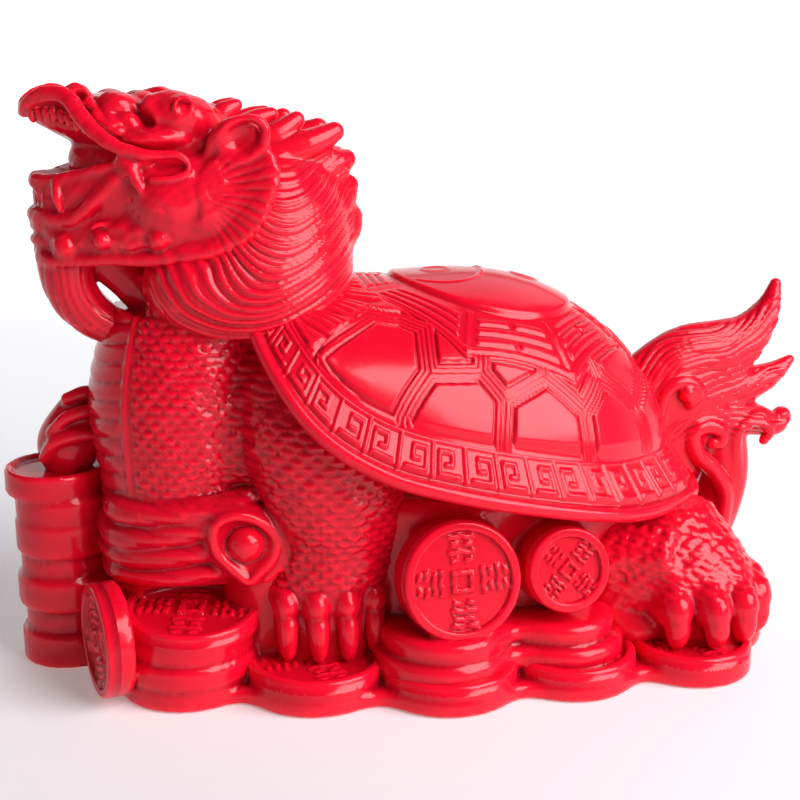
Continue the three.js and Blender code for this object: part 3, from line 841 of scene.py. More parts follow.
def jaw_curls(field):
    field.add(
        # Balls under the cheek and under the lip, ringed by arcs, and a ball at the chin
        (egg((-52.2, -15.2, 90.6), (2.3, 2.6, 2.3)), 1),
        *((bar(*spiral((-52, -16, 90.8), (r, r), -0.2, 0.5, (0.6, 0.4), 0.4, 7)), 0.8) for r in (3.3, 4.6)),
        (egg((-62.6, -11.9, 90.2), (1.7, 2, 1.7)), 0.8),
        (bar(*spiral((-62.4, -12.2, 90.4), (2.9, 2.9), -0.1, 0.45, (0.6, 0.4), count=7)), 0.8),
        (egg((-69, -7.4, 88.8), (2.3, 2.4, 2.4)), 1),
        # Two curls between the balls, and the roll of the jaw's lower edge
        *((bar((-60.6, -12.4, z, 0.5), (-58.8, -13.4, z + 0.6, 0.8), (-57.4, -14, z - 0.4, 0.8),
               (-55.8, -14.8, z, 0.5)), 1.2) for z in (92, 89.8)),
        (bar((-73.2, -2, 86.2, 1.2), (-71.4, -5.4, 86, 1.3), (-66.2, -8.4, 86.2, 1.3),
             (-60.6, -11.2, 86.6, 1.3), (-54, -14, 86.6, 1.4), (-47.7, -16.4, 87.6, 1.3),
             (-43, -18, 88.4, 1.1)), 1.1),
        # Ridges across the front of the chin
        *((bar((x, 0, z, 1), (x + 1, -2.4, z, 1), (x + 3.4, -4.6, z - 0.4, 0.8)), 0.4)
          for x, z in ((-74.1, 92), (-74.2, 89.6), (-73.4, 87.2))),
    )


HOLE = egg((-58.8, 0, 79.9), (3.5, 26, 6.7), (0, -40, 0))


def beard_shapes(field):
    field.add(
        (bar((-68, 0, 89, 6, 6.2), (-68.6, 0, 84.4, 6.2, 5.6), (-67.4, 0, 79, 5.9, 5.4),
             (-63.8, 0, 74, 5.4, 4.6), (-58, 0, 70.6, 5.2, 3.4), (-50, 0, 69.4, 5.4, 3.2)), 1.2),
        (HOLE, -0.8),
        # The wall between the beard's curve and the hole
        (bar((-64.2, 0, 88.2, 3, 4.8), (-57.4, 0, 81.3, 3.2, 4.1), (-51, 0, 73.7, 3.6, 4)), 1),
    )


# The middles, as (x, z), of the beard's curve and of the cheek, round which their strands run
BEARD_MIDDLE = (-55.5, 82.5)
CHEEK_MIDDLE = (-46, 99.5)


def head_relief(points):
    """Strands of the beard and fine lines of the ruff."""
    x, y, z = points.T
    from_hole = side_distance(points, BEARD_MIDDLE)
    beard = step_up(-z, -87, -84.5) * step_up(from_hole, 6, 8.5)
    strands = ridges(from_hole / 1.5 + 0.25 * waves(points, 14)) - 0.6
    ruff = step_up(x, -43.5, -40.5) * step_up(-y, 15.5, 17) * step_down(z, 104.5, 106.5)
    around = np.arctan2(z - CHEEK_MIDDLE[1], x - CHEEK_MIDDLE[0])
    fur = ridges(around * 6.4 + 0.25 * waves(points, 9)) - 0.6
    uneven = step_up(z, 86, 89) * (0.13 * waves(points, 4.2, 1.0) + 0.06 * waves(points, 1.9, 2.0))
    return 0.24 * beard * strands + 0.36 * ruff * (side_distance(points, CHEEK_MIDDLE) > 3) * fur + uneven


def head():
    field = Field((-76.2, -24, 64), (-29, 0, 119.4), 0.39)
    jaw_masses(field)
    ruff_shapes(field)
    upper_mouth(field)
    lower_mouth(field)
    eyes_and_nose(field)
    jaw_curls(field)
    beard_shapes(field)
    ear_shapes(field)
    return Skin("head", *skinned(field, head_relief), field)


# Mane


TOP_LOCKS = [
    [(-41, -3.6, 110, 2.2), (-37.6, -3.4, 113, 2), (-35, -3.2, 114.4, 1.3)],
    [(-37, -4, 108.5, 2.4), (-31.6, -4, 111.4, 2.1), (-28.2, -4, 112.6, 1.4)],
    [(-34, -7, 107, 2.6), (-28, -7.4, 109, 2.4), (-23.8, -6.6, 111.6, 1.7)],
    [(-31, -8, 104, 3.2), (-22, -8, 106.8, 3), (-16.4, -7.2, 109.2, 2)],
]
BACK_LOCKS = [
    [(-28, -4.5, 101, 3.8), (-18, -5, 102.2, 3.6), (-13.4, -4.4, 103.6, 2)],
    [(-24, -4, 95, 4.4), (-15.5, -4, 95.6, 3.4), (-12.4, -3, 98.4, 1.9)],
    [(-22, -4, 88, 4.4), (-14, -4, 89.4, 3.2), (-11.6, -3, 92, 1.9)],
]
# Lines that the strands follow on the side of the mane, as (x, z), each with its count in mm down the mane
MANE_LINES = {
    0: [(-31.4, 104.3), (-28.1, 103.7), (-21.9, 104.8), (-16.4, 107.1)],
    6.5: [(-32.1, 97.8), (-28.7, 96.8), (-23.1, 98.3), (-17.8, 102), (-14.7, 104)],
    15.5: [(-37, 94), (-35.9, 91.4), (-33.2, 89.5), (-28.9, 88.4), (-22.7, 90.7), (-16.5, 95.2), (-14, 98.3)],
    25.5: [(-42.1, 87), (-41.4, 83.2), (-38.4, 80), (-33.9, 79), (-26.6, 81.5), (-19.3, 85.9), (-13.5, 89.8)],
    29.5: [(-49.8, 86), (-48.7, 82.1), (-46.5, 78.7), (-42, 76.4), (-36.3, 75.7), (-29.2, 76.9),
           (-21.2, 80.9), (-11.5, 85.7)],
    33.5: [(-56, 86), (-53.8, 80), (-50.7, 75.2), (-46.7, 73), (-40.8, 71.6), (-35.9, 71.8), (-26.7, 74.2),
           (-18.1, 78), (-10, 82)],
}


def plate_spline(lines):
    """A smooth function of x and z that has each line's count along it: a thin plate bent over the lines."""
    places = np.array([place for line in lines.values() for place in line])
    values = [value for value, line in lines.items() for _ in line]
    count = len(places)

    def bend(gap):
        square = (gap**2).sum(axis=-1) + 1e-9
        return square * np.log(square)

    level = np.hstack([np.ones((count, 1)), places])
    bends = bend(places[:, None] - places) + 4.0 * np.eye(count)
    system = np.block([[bends, level], [level.T, np.zeros((3, 3))]])
    weights = np.linalg.solve(system, [*values, 0, 0, 0])

    def value_at(x, z):
        here = np.stack([x, z], axis=-1)
        bent = sum(weight * bend(here - place) for place, weight in zip(places, weights))
        return weights[count] + here @ weights[count + 1 :] + bent

    return value_at


# Where the strands start at the front of the mane, as (x, z)
MANE_START = (-58, 78.6)


def mane_relief(points):
    """Strands in layers along the drawn lines, deepest at the back, where the layers end in tips."""
    x, _, z = points.T
    down = plate_spline(MANE_LINES)(x, z)
    sway = 0.5 * waves(points, 17) + 0.25 * waves(points, 7, 2.0)
    layers = ridges((down + 0.9 * sway) / 4.4) - 0.55
    strands = np.cos(2 * math.pi * (down + 0.5 * sway) / 1.5)
    fine = np.cos(2 * math.pi * (down + 0.5 * sway) / 0.75) * step_up(-z, -84, -80) * step_up(-x, 32, 37)
    side = step_up(-z, -107, -103) * step_down(x, -13.6, -12.2)
    away = 1 - bell(side_distance(points, MANE_START), 6)
    return side * away * ((0.42 + 0.1 * step_up(x, -19, -13)) * layers + 0.19 * strands + 0.13 * fine)


def mane():
    field = Field((-57.5, -28, 63), (-6, 0, 117), 0.4)
    field.add(
        (bar((-31, 0, 90, 20.4, 18.6), (-32.5, 0, 80, 23, 20.2), (-36, 0, 73, 21, 16),
             (-38, 0, 72, 15, 10)), 1),
        (egg((-44, -11, 80), (11.5, 9.5, 9), (0, 15, -20)), 3),
        *((bar(*lock), 0.9) for lock in TOP_LOCKS),
        *((bar(*lock), 2.6) for lock in BACK_LOCKS),
        # Room for the head, and the level lower edge of the hair
        (egg((-48.5, -14, 101), (13.5, 14, 13.4)), -0.6),
        (drum((-80, 0, 0), 54, 50, 71.8, 0.6), -2.5),
        (HOLE, -1.2),
    )
    return Skin("mane", *skinned(field, mane_relief), field)


# Chest and legs


def toe_shapes(field, x, y, top, foot, size):
    """A scaled knuckle with a claw that curves down from it."""
    field.add(
        (egg((x, y + 3.4, top + 1.2), (size * 1.2, size * 2.3, size * 1.25), (24, 0, 0)), 1.4),
        (egg((x, y + 0.4, top - 0.2), (size * 1.05, size * 1.3, size * 1.3), (30, 0, 0)), 0.7),
        (bar((x, y + 0.4, top - 1.5, size * 0.82), (x, y - 1.4, (top + foot) / 2 + 1, size * 0.8),
             (x, y - 1.6, foot + 2.4, size * 0.64), (x, y - 0.6, foot, size * 0.25), across=ACROSS_X), 0.4),
    )


# Folds of the clouds: height at the front, height at the volute, reach to the front and half thickness
CLOUD_FOLDS = [(36.4, 38.8, 63.2, 2.6), (31.4, 34.8, 66, 2.9), (26.8, 30.8, 66.2, 2.5),
               (22.8, 26.6, 65.2, 2.2)]
VOLUTE_RIM = [(-45.2, -23, 33.6), (-44, -23.4, 36.4), (-40.6, -24, 37.6), (-36.2, -24.2, 36.2),
              (-33, -24, 32.4), (-33.6, -24, 28.4), (-36.4, -24.2, 25.6), (-38.6, -24, 24),
              (-41.6, -23.6, 26.6), (-44.4, -23, 30)]


def cloud_fold(i, front, side, reach, thick):
    """One fold from the volute round to the front, with a dip of its own."""
    dip = 0.7 * math.sin(1.7 * i)
    return bar((-34, -18.4, side + 1.8, thick * 0.6, 2.4), (-44, -19.2, side - 0.6 + dip, thick * 0.9, 3),
               (-54, -15.8, (front + side) / 2 - 0.8, thick, 3.4),
               (-61.2, -9.4, front - dip, thick * 1.05, 3.2),
               (-reach + 3, 0, front, thick, 3), across=ACROSS_Z)


def volute_ring(dx, dy, half):
    """A bar along the volute's rim, shifted a little."""
    return bar(*((x + dx, y + dy, z, half) for x, y, z in VOLUTE_RIM), closed=True)


def cloud_shapes(field):
    """Soft folds that run round the foot of the chest into a volute with a ball."""
    field.add(
        (bar((-47.5, 0, 24, 17.6, 16.4), (-48, 0, 30, 18.6, 16.8), (-48, 0, 37, 18, 15.6)), 1.5),
        *((cloud_fold(i, *fold), 1) for i, fold in enumerate(CLOUD_FOLDS)),
        # Room for the coins below
        (egg((-50, -19, 18.3), (12.4, 10.5, 3)), -0.8),
        # The volute: its block and rim, the hollow, the inner rim, an arc behind it and the ball
        (drum((-38.6, -20.6, 31.2), 6.6, -5, 2.2, 1.8, facing=(-0.2, -1, 0.15)), 2),
        (volute_ring(0.6, 2, 1.9), 1.6),
        (egg((-38.8, -25, 31.2), (4.6, 2.4, 4.8)), -0.8),
        (volute_ring(0, 0.2, 1), 0.7),
        (bar((-32.2, -23.4, 35.4, 0.7), (-30.8, -23, 31, 1), (-32, -23, 26.8, 1),
             (-35, -23.2, 23.6, 0.6)), 1),
        (egg((-38.8, -23.4, 31.4), (3.5, 2.8, 3.5)), 0.4),
    )


# The middle of the volute, as (x, z), its face's distance from the figure's middle, and the chest's axis
VOLUTE = (-38.6, 31)
VOLUTE_FACE = 20.5
CHEST_X = -47


def chest_relief(points):
    """Belly plates down the front, and scales over the neck, shoulders and legs."""
    x, y, z = points.T
    turn = np.arctan2(np.abs(y), CHEST_X - x)
    leg = step_up(x, -37.5, -34.5) * step_down(z, 56, 60)
    clear = step_up(side_distance(points, VOLUTE) + 20 * (np.abs(y) < VOLUTE_FACE), 7.6, 9.2)
    plate = ridges((z + 1.6 * np.cos(turn * 2)) / 3.7) - 0.4
    plates = step_down(turn, 0.72, 0.78) * step_up(z, 37, 40) * plate
    edge = bell(turn - 0.8, 0.045) * step_up(z, 38, 42) * (1 - leg)
    cloud = step_up(-x, 37, 42) * step_down(z, 38, 41) * step_up(z, 21, 23) * clear
    creases = ridges((z + 0.14 * (x + 50) + 0.8 * waves(points, 13)) / 2.7) - 0.6
    on_chest = (1 - leg) * step_up(turn, 0.86, 0.92) * step_up(z, 37.5, 42)
    on_leg = leg * step_up(z, 20, 23) * clear
    chest_scales = uneven_scales(points, turn * 17, z, 2.6) - 0.4
    leg_scales = uneven_scales(points, np.arctan2(-(np.abs(y) - 14), x + 22) * 12, z, 2.7) - 0.4
    scaled = 1.1 * on_chest * chest_scales + 1.15 * on_leg * leg_scales
    return 0.5 * (plates + edge) + 0.3 * cloud * creases + scaled


def chest_and_legs():
    field = Field((-70, -36, 4), (-4, 0, 82), 0.5)
    field.add(
        (bar((-50, 0, 10, 11, 12.4), (-49.4, 0, 21, 12.4, 13.4), (-48, 0, 30, 16.2, 15.2),
             (-48, 0, 42, 18.3, 16.3), (-47.5, 0, 56, 18.8, 18.3), (-45, 0, 67, 17.3),
             (-40, 0, 78, 15.6, 14.6)), 1),
        (egg((-33, -10.8, 50), (12, 9, 19)), 1.4),
        # The front leg
        (bar((-27, -15, 58, 11.6, 10.6), (-24, -19, 50, 13.6, 12.1), (-20.5, -20, 40, 14.2, 11.2),
             (-19.5, -19.5, 30, 12.2, 9.7), (-21.5, -19, 19, 11.7, 9.3),
             (-22, -19, 6, 11.7, 8.3), across=ACROSS_X), 2),
        (HOLE, -0.8),
    )
    cloud_shapes(field)
    for x, y in ((-31.4, -24.5), (-25.7, -27), (-19.8, -27.5), (-13.8, -25.5)):
        toe_shapes(field, x, y, 18.5, 7, 2.6)
    return Skin("chest_and_legs", *skinned(field, chest_relief), field)


# Hind legs


def hind_relief(points):
    """Scales over the hind leg, on lumpy ground."""
    x, y, z = points.T
    turn = np.arctan2(-(np.abs(y) - 20), x - 52) * 14
    lumps = 0.35 * waves(points, 6.5, 2.0) + 0.12 * waves(points, 2.6, 1.0)
    leg_scales = 0.7 * (uneven_scales(points, turn, z + 0.3 * x, 2.6) - 0.3)
    return step_up(z, 15, 18) * step_down(z, 33, 36) * (leg_scales + lumps)


def thigh_lock(x, y):
    """A wavy lock that hangs down the front of the thigh."""
    return bar((x + 1.4, y + 1.4, 28, 1.5), (x - 1.2, y - 0.6, 24, 1.8), (x + 1, y - 1.4, 19.5, 1.7),
               (x - 1, y - 1.6, 15.5, 1.4), (x - 2.8, y - 1.2, 13.5, 0.6))


def hind_legs():
    field = Field((28, -47, 3), (78, 0, 36), 0.52)
    field.add(
        (egg((49, -21, 20), (18, 14, 11)), 1),
        (bar((50, -26, 22, 15, 9), (55, -30, 15.5, 13, 10), (58, -31.5, 5, 12, 9), across=ACROSS_X), 1.5),
        (egg((69.5, -28, 9), (4, 5, 4)), 0.8),
    )
    for x, y in ((46.5, -38.5), (54, -41), (61, -39.5), (66.5, -35)):
        toe_shapes(field, x, y, 14, 6.2, 3.4)
    field.add(
        # Lumps and locks before the thigh
        (egg((38, -27, 11), (6, 6, 5)), 3),
        (egg((42, -31, 8), (6, 5, 3.6)), 3),
        (egg((36, -25, 20), (5, 5.5, 6)), 3),
        *((thigh_lock(36.5 + 2.4 * i, -28.5 - 1.4 * i), 1.2) for i in range(5)),
    )
    return Skin("hind_legs", *skinned(field, hind_relief), field)


# Tail


FLAMES = [
    [(50, 0, 42, 5.4, 9), (58, 0, 50, 5.6, 9.5), (66, 0, 55, 5.6, 9.5), (74, 0, 57.5, 5.2, 8),
     (81, 0, 61, 4.2, 5.5), (86, 0, 67, 2.8, 3), (87.8, 0, 73, 1.3)],
    [(66, 0, 48, 5.6, 7), (75, 0, 50, 4.8, 6), (82, 0, 50, 3.8, 4.3), (88.5, 0, 52.2, 2.5, 2.6),
     (92.8, 0, 55.1, 1.1)],
    [(68, 0, 43, 5.2, 6), (77, 0, 43.5, 4.7, 5), (84, 0, 41.5, 3.7, 3.8), (89.5, 0, 40, 3, 2.8),
     (91.6, 0, 41.6, 2.3)],
    [(66, 0, 6, 7.6, 7), (73.5, 0, 17, 6.2, 6), (77.5, 0, 28, 5.2, 5.5), (76.5, 0, 38, 4.6, 5.6),
     (73, 0, 46, 4.6, 6)],
]
# Lines that the strands of the tail follow, as (x, z), each with its count in mm across the flames
TAIL_LINES = {
    0: [(48.9, 57.1), (55.8, 62.9), (64.5, 65.5), (73.4, 66.5), (79.4, 70.3), (83.8, 74.8)],
    7: [(52.4, 51.6), (57.3, 57.7), (64, 60.9), (72.1, 61.7), (78.5, 64.7), (83.1, 70.5)],
    14: [(57.6, 50.8), (62.6, 55.8), (69.1, 57.3), (75.7, 57.3), (78.1, 58.6)],
    19: [(67, 50.2), (72.7, 52.5), (79.3, 53.2), (84.7, 54.8), (90.1, 57.5)],
    24: [(64.8, 46.1), (71.3, 47.6), (77.1, 48.7), (82, 50.7), (86.1, 52.7)],
    29: [(64.2, 42.7), (69, 44.6), (75.7, 45.3), (81.6, 44.1), (89.4, 43.1)],
}
# Lines of the curls on the flames' side: their y and stations of x, z and half width
UPPER_CURL = (-5.4, [(55.8, 38.7, 0.9), (57.2, 43.2, 1.1), (58, 47.8, 1.3), (59.2, 51.1, 1.4),
                     (62, 52.8, 1.5), (65.3, 52.4, 1.5), (66.9, 50, 1.5), (65.1, 48.4, 1.6)])
STEM_CURL = (-4.9, [(74.9, 18.7, 1.8), (75.2, 26, 1.9), (71.9, 31.9, 2), (67.9, 35.4, 2), (66.2, 39, 2),
                    (67.1, 41.5, 1.9), (70.2, 42.2, 1.8), (73.3, 40.6, 1.7), (73.6, 38.2, 1.5),
                    (71.5, 38, 1.3)])
FORK = (-3.9, [(78.5, 30.5, 1.2), (77.8, 36.1, 1.5), (78.1, 40, 1.6), (80.9, 42.3, 1.6), (84.4, 41.8, 1.6),
               (86.3, 39.4, 1.4), (85.1, 37.3, 1.1)])


def curl_on_side(y, stations):
    return bar(*((x, y, z, half) for x, z, half in stations))


# The middles of the curls, as (x, z), which carry no strands
TAIL_CURLS = ((62.4, 49.6), (70.4, 38.6))


def tail_relief(points):
    """Strands that run along the flames."""
    x, y, z = points.T
    down = plate_spline(TAIL_LINES)(x, z) + 0.5 * waves(points, 15)
    strands = np.cos(2 * math.pi * down / 1.55) + 0.5 * np.cos(2 * math.pi * down / 4.6)
    from_curls = np.min([side_distance(points, middle) for middle in TAIL_CURLS], axis=0)
    return 0.2 * strands * step_up(np.abs(y), 0.8, 2.2) * step_up(z, 38, 41) * step_up(from_curls, 4.8, 6.2)


def tail():
    field = Field((50, -9, 4), (95.5, 0, 76), 0.45)
    field.add(
        *((bar(*flame), 1.2) for flame in FLAMES),
        (egg((64, 0, 39), (10, 5.6, 13)), 2),
        (curl_on_side(*UPPER_CURL), 0.8),
        (egg((63.9, -6, 50.4), (2, 1.9, 2)), 0.4),
        (curl_on_side(*STEM_CURL), 0.7),
        (curl_on_side(*FORK), 0.7),
    )
    return Skin("tail", *skinned(field, tail_relief), field)


# Bed of coins


# Coins lying in the bed on each side: x, distance from the middle, radius, height and roll of the marks
BED_COINS = ((-25.5, 24.5, 14, 6.3, 0.1), (52, 35.4, 12.4, 5.5, 0.2), (0, 31.5, 14.2, 5.5, 0.4),
             (26, 33, 13.3, 5.5, 0.7), (64, 12, 11.3, 6, 0))
# The last of them lies under the tail and shows no marks
MARKED_COINS = 4
# Circles of x, y and radius that the outlines of the bed's foot and of the wall on it flow round
BED_FOOT = ((-49.5, 16, 13.2), (-25.5, 24.5, 14.4), (0, 31.5, 14.7), (26, 33, 13.8), (52, 35.3, 12.6),
         (64, 12, 11.8))
BED_WALL = ((-33, 13, 9), (-4, 13, 13.5), (8, 14.5, 15.2), (26, 14.5, 15), (42, 12.5, 14))
# Coins that stand against the wall: x, height of the middle, radius and roll of the marks
STANDING_COINS = ((1, 24.8, 11.9, 0), (23.2, 24.8, 8.6, math.pi / 4))
# Distance of their middle and of their face from the figure's middle, and how far they lean back
STAND_Y = 32.5
STAND_FACE_Y = 37.4
STAND_LEAN = 0.2
# Wavy ledges under the standing coins, with their bottoms and tops
LEDGES = ((((-0.8, 30.2, 14), (24.8, 30.6, 12.7)), 4.6, 9.6),
          (((-0.5, 30.4, 12.8), (24.2, 30, 11.3)), 9.2, 14))
# Layers of the stack under each side of the chest: x, radius, bottom and top
STACK_LAYERS = ((-50, 13.7, -2, 4.6), (-49.9, 14, 4.3, 9.2), (-49.6, 13.3, 8.8, 13.2))
# The top coin of each stack, which leans outwards: radius, thickness, middle of its face and slope
STACK_TOP = (13.6, 3.5, (-48.9, 16, 16.2), 0.11)
# Coins of the column, with radius, bottom and top, and the places of the column and of the dish on it
COLUMN = ((10, -2, 7.5), (8.9, 7, 12.5), (10.3, 12.2, 19.5), (9.3, 19, 24), (10.1, 23.7, 31.5),
          (9.8, 31, 36.5))
COLUMN_PLACE = (-71.8, 7, 0)
DISH_PLACE = (-73, 8, 0)
FRONT_COIN_FACING = (-1, -0.17, 0)


def on_side(circles, side):
    return [(x, y * side, radius) for x, y, radius in circles]


def bed_side(field, side):
    """The coins, ledges and wall of one side of the bed."""
    top_radius, thick, (top_x, y, top_z), slope = STACK_TOP
    field.add(
        (slab(on_side(BED_FOOT, side), -2, 3.3, 0.9), 0.5),
        *((drum((x, y * side, 0), radius, 2.6, top, 0.5), 0.5) for x, y, radius, top, _ in BED_COINS),
        (slab(on_side(BED_WALL, side), -2, 38, 3), 1.5),
        *((slab(on_side(circles, side), low, high, 1.8), 0.3) for circles, low, high in LEDGES),
        *((drum((x, y * side, 0), radius, low, high, 1.3), 0.2) for x, radius, low, high in STACK_LAYERS),
        (drum((top_x, y * side, top_z), top_radius, -thick, 0.1, 1.3, facing=(0, slope * side, 1)), 0.2),
        *((drum((x, STAND_Y * side, z - 1), radius, -3, 5.1, 0.5, facing=(0, side, STAND_LEAN)), 1.6)
          for x, z, radius, _ in STANDING_COINS),
    )


def coin_bed():
    """The bed of coins, the wall behind the standing coins and the column at the front."""
    field = Field((-85, -49, 0), (79, 49, 44), 0.84)
    for side in SIDES:
        bed_side(field, side)
    field.add(
        (drum((-30, 0, 0), 27, -2, 6.5, 2), 1),
        (drum((-52, 0, 0), 17, -2, 6.5, 1), 1),
        *((drum(COLUMN_PLACE, radius, low, high, 1.3), 0.3) for radius, low, high in COLUMN),
        # The dish on the column and its hollow
        (drum(DISH_PLACE, 10.35, 36, 41.8, 0.9), 0.3),
        (drum(DISH_PLACE, 8.9, 40.6, 46, 0.5), -0.3),
        (drum((-62.5, -16.2, 12), 11.4, 0.5, 5.1, 0.5, facing=FRONT_COIN_FACING), 0.4),
    )
    field.values = np.maximum(field.values, 0.05 - field.axes[2])
    return Skin("coin_bed", *level_underside(*skinned(field)), field)


def level_underside(points, quads):
    """The bed as triangles, with one flat fan in place of the small faces under it."""
    low = points[:, 2] < 0.4
    quads = quads[~low[quads].all(axis=1)]
    edges = np.vstack([quads[:, [i, (i + 1) % 4]] for i in range(4)])
    _, first, count = np.unique(np.sort(edges, axis=1), axis=0, return_index=True, return_counts=True)
    rim = edges[first[count == 1]]
    bottom = np.column_stack([rim[:, ::-1], np.full(len(rim), len(points))])
    return np.vstack([points, (0, 0, 0.1)]), np.vstack([triangles_of(quads), bottom])


# Faces of the coins


COIN_RIM = 1.8
COIN_SINK = 1.1
# How far behind its field a coin's face is closed
COIN_BACK = 0.8
COIN_GRAIN = 0.09
EYE_RISE = 0.85
MARK_RISE = 0.7
# The coin radius that the marks are drawn for
MARKED_RADIUS = 10.9
# Which of the four rows of each mark are broken in two, round the coin
MARK_ROWS = ((0, 1, 0, 1), (1, 0, 1, 0), (0, 0, 1, 1), (1, 0, 0, 1))


def mark_height(x, y):
    """Four groups of strokes in a cross, for a coin of the marked radius."""
    height = 0
    for i, rows in enumerate(MARK_ROWS):
        turn = i * math.pi / 2
        along = x * math.cos(turn) + y * math.sin(turn) - 6
        aside = -x * math.sin(turn) + y * math.cos(turn)
        for row, broken in enumerate(rows):
            level = np.abs(along - 1.4 * (row - 1.5) - 0.14 * np.sin(2.3 * aside + i))
            reach = 2.4 - 0.45 * ((i + row) % 2)
            stroke = step_down(level, 0.36, 0.66) * step_down(np.abs(aside), reach, reach + 0.35)
            height = np.maximum(height, stroke * (step_up(np.abs(aside), 0.3, 0.65) if broken else 1))
    return height


def coin_height(x, y, radius):
    """Height of a coin's face over its field: the rim, a square eye and the marks."""
    out = np.hypot(x, y)
    rim = COIN_SINK * step_up(out, radius - COIN_RIM - 0.35, radius - COIN_RIM + 0.05)
    rim = rim * (1 - 0.6 * step_up(out, radius - 0.5, radius) ** 2)
    x, y = x * MARKED_RADIUS / radius, y * MARKED_RADIUS / radius
    square = np.maximum(np.abs(x), np.abs(y))
    eye = step_up(square, 1, 1.25) * step_down(square, 2, 2.25)
    return np.maximum(rim + EYE_RISE * eye, MARK_RISE * mark_height(x, y))


def coin_face(centre, radius, facing, roll=0.0, rings=44, turns=116):
    """Points and triangles of one coin's face, closed behind. centre is the middle of its field."""
    share = np.linspace(0, 1, rings)[:, None]
    angle = np.linspace(0, 2 * math.pi, turns, endpoint=False)
    x, y = radius * share * np.cos(angle), radius * share * np.sin(angle)
    c, k = math.cos(roll), math.sin(roll)
    grain = waves(np.stack([x, y, 0 * x], axis=-1), 1.5, radius)
    height = coin_height(c * x + k * y, -k * x + c * y, radius) + COIN_GRAIN * grain * (share < 0.8)
    axis = unit(np.array(facing, dtype=float))
    right = unit(np.cross(ACROSS_Z if abs(axis[2]) < 0.9 else ACROSS_X, axis))
    top = np.cross(axis, right)
    face = centre + x[..., None] * right + y[..., None] * top + height[..., None] * axis
    back = face[-1] - axis * (COIN_SINK + COIN_BACK)
    points = np.vstack([face.reshape(-1, 3), back, centre - axis * COIN_BACK])
    behind = fan(rings * turns + np.arange(turns), len(points) - 1)
    triangles = np.vstack([triangles_of(sheet_faces(rings + 1, turns, wrap=True)), behind])
    return points, facing_out(points, triangles)


def coins():
    """The faces of the coins that show, standing against the body or lying in the bed."""
    made = [coin_face((-67.43, -17.04, 12), 11.4, FRONT_COIN_FACING, 0.3)]
    for side in SIDES:
        for x, z, radius, roll in STANDING_COINS:
            made.append(coin_face((x, STAND_FACE_Y * side, z), radius, (0, side, STAND_LEAN), roll))
        radius, _, (x, y, z), slope = STACK_TOP
        made.append(coin_face((x, y * side, z), radius, (0, slope * side, 1), 0.3 * side))
        for x, y, radius, top, roll in BED_COINS[:MARKED_COINS]:
            made.append(coin_face((x, y * side, top - 0.1), radius, ACROSS_Z, roll, rings=32, turns=92))
    starts = np.cumsum([0] + [len(points) for points, _ in made])
    faces = np.vstack([triangles + start for (_, triangles), start in zip(made, starts)])
    return Skin("coins", np.vstack([points for points, _ in made]), faces)


def ingot():
    """A lump like a boat-shaped ingot, with folds, in the dish on top of the column."""
    field = Field((-79, 0.5, 38), (-60, 15.5, 59.5), 0.5)
    field.add(
        (egg((-70.2, 8, 45.5), (6.2, 6.2, 7.5)), 1),
        (egg((-67, 8, 50.5), (5.8, 5.4, 6.6)), 2.5),
        (bar((-73.6, 3.6, 49.5, 1), (-70.6, 2.2, 52.6, 1.3), (-66, 2.2, 54, 1.3), (-62, 3.4, 54, 1)), 1),
        (bar((-75.4, 4, 44, 1), (-73, 2.4, 47.6, 1.2), (-68, 1.8, 49, 1.3), (-63, 2.2, 48.6, 1)), 1.2),
        (bar((-70, 5, 56, 1.2), (-66, 5, 57, 1.5), (-62, 6, 56, 1.2)), 1.2),
    )
    return Skin("ingot", *skinned(field), field)


# Materials


def new_material(name):
    material = bpy.data.materials.new(name)
    material.use_nodes = True
    return material, material.node_tree


def set_inputs(tree, node, inputs):
    """Gives a node's inputs their numbers and colours, or links them to the outputs of other nodes."""
    for name, value in inputs.items():
        if isinstance(value, bpy.types.NodeSocket):
            tree.links.new(value, node.inputs[name])
        else:
            node.inputs[name].default_value = value


def node_output(tree, kind, output, inputs):
    """The named output of a new node with those inputs."""
    node = tree.nodes.new(kind)
    set_inputs(tree, node, inputs)
    return node.outputs[output]


def mixed_colour(tree, share, first, second):
    node = tree.nodes.new("ShaderNodeMix")
    node.data_type = "RGBA"
    set_inputs(tree, node, {"Factor": share, "A": (*first, 1), "B": (*second, 1)})
    return node.outputs["Result"]


def resin():
    """Glossy opaque red resin with painted shade that darkens the recesses, and faint unevenness in the
    gloss.
    """
    material, tree = new_material("red_resin")
    # Painted shade: where the surface curves inwards, the red turns darker
    pointiness = node_output(tree, "ShaderNodeNewGeometry", "Pointiness", {})
    edges = {"Value": pointiness, "From Min": 0.44, "From Max": 0.54}
    raised = node_output(tree, "ShaderNodeMapRange", "Result", edges)
    place = node_output(tree, "ShaderNodeTexCoord", "Object", {})
    cloud = node_output(tree, "ShaderNodeTexNoise", "Fac", {"Vector": place, "Scale": 60, "Detail": 4})
    gloss = {"Value": cloud, "To Min": 0.11, "To Max": 0.24}
    grain = node_output(tree, "ShaderNodeTexNoise", "Fac", {"Vector": place, "Scale": 500, "Detail": 3})
    bump = {"Height": grain, "Strength": 0.14, "Distance": 0.0002}
    set_inputs(tree, tree.nodes["Principled BSDF"], {
        "Base Color": mixed_colour(tree, raised, (0.32, 0.001, 0.01), (0.93, 0.004, 0.026)),
        "Roughness": node_output(tree, "ShaderNodeMapRange", "Result", gloss),
        "Normal": node_output(tree, "ShaderNodeBump", "Normal", bump),
        "IOR": 1.36,
        "Coat Weight": 0.05,
        "Coat Roughness": 0.1,
    })
    return material


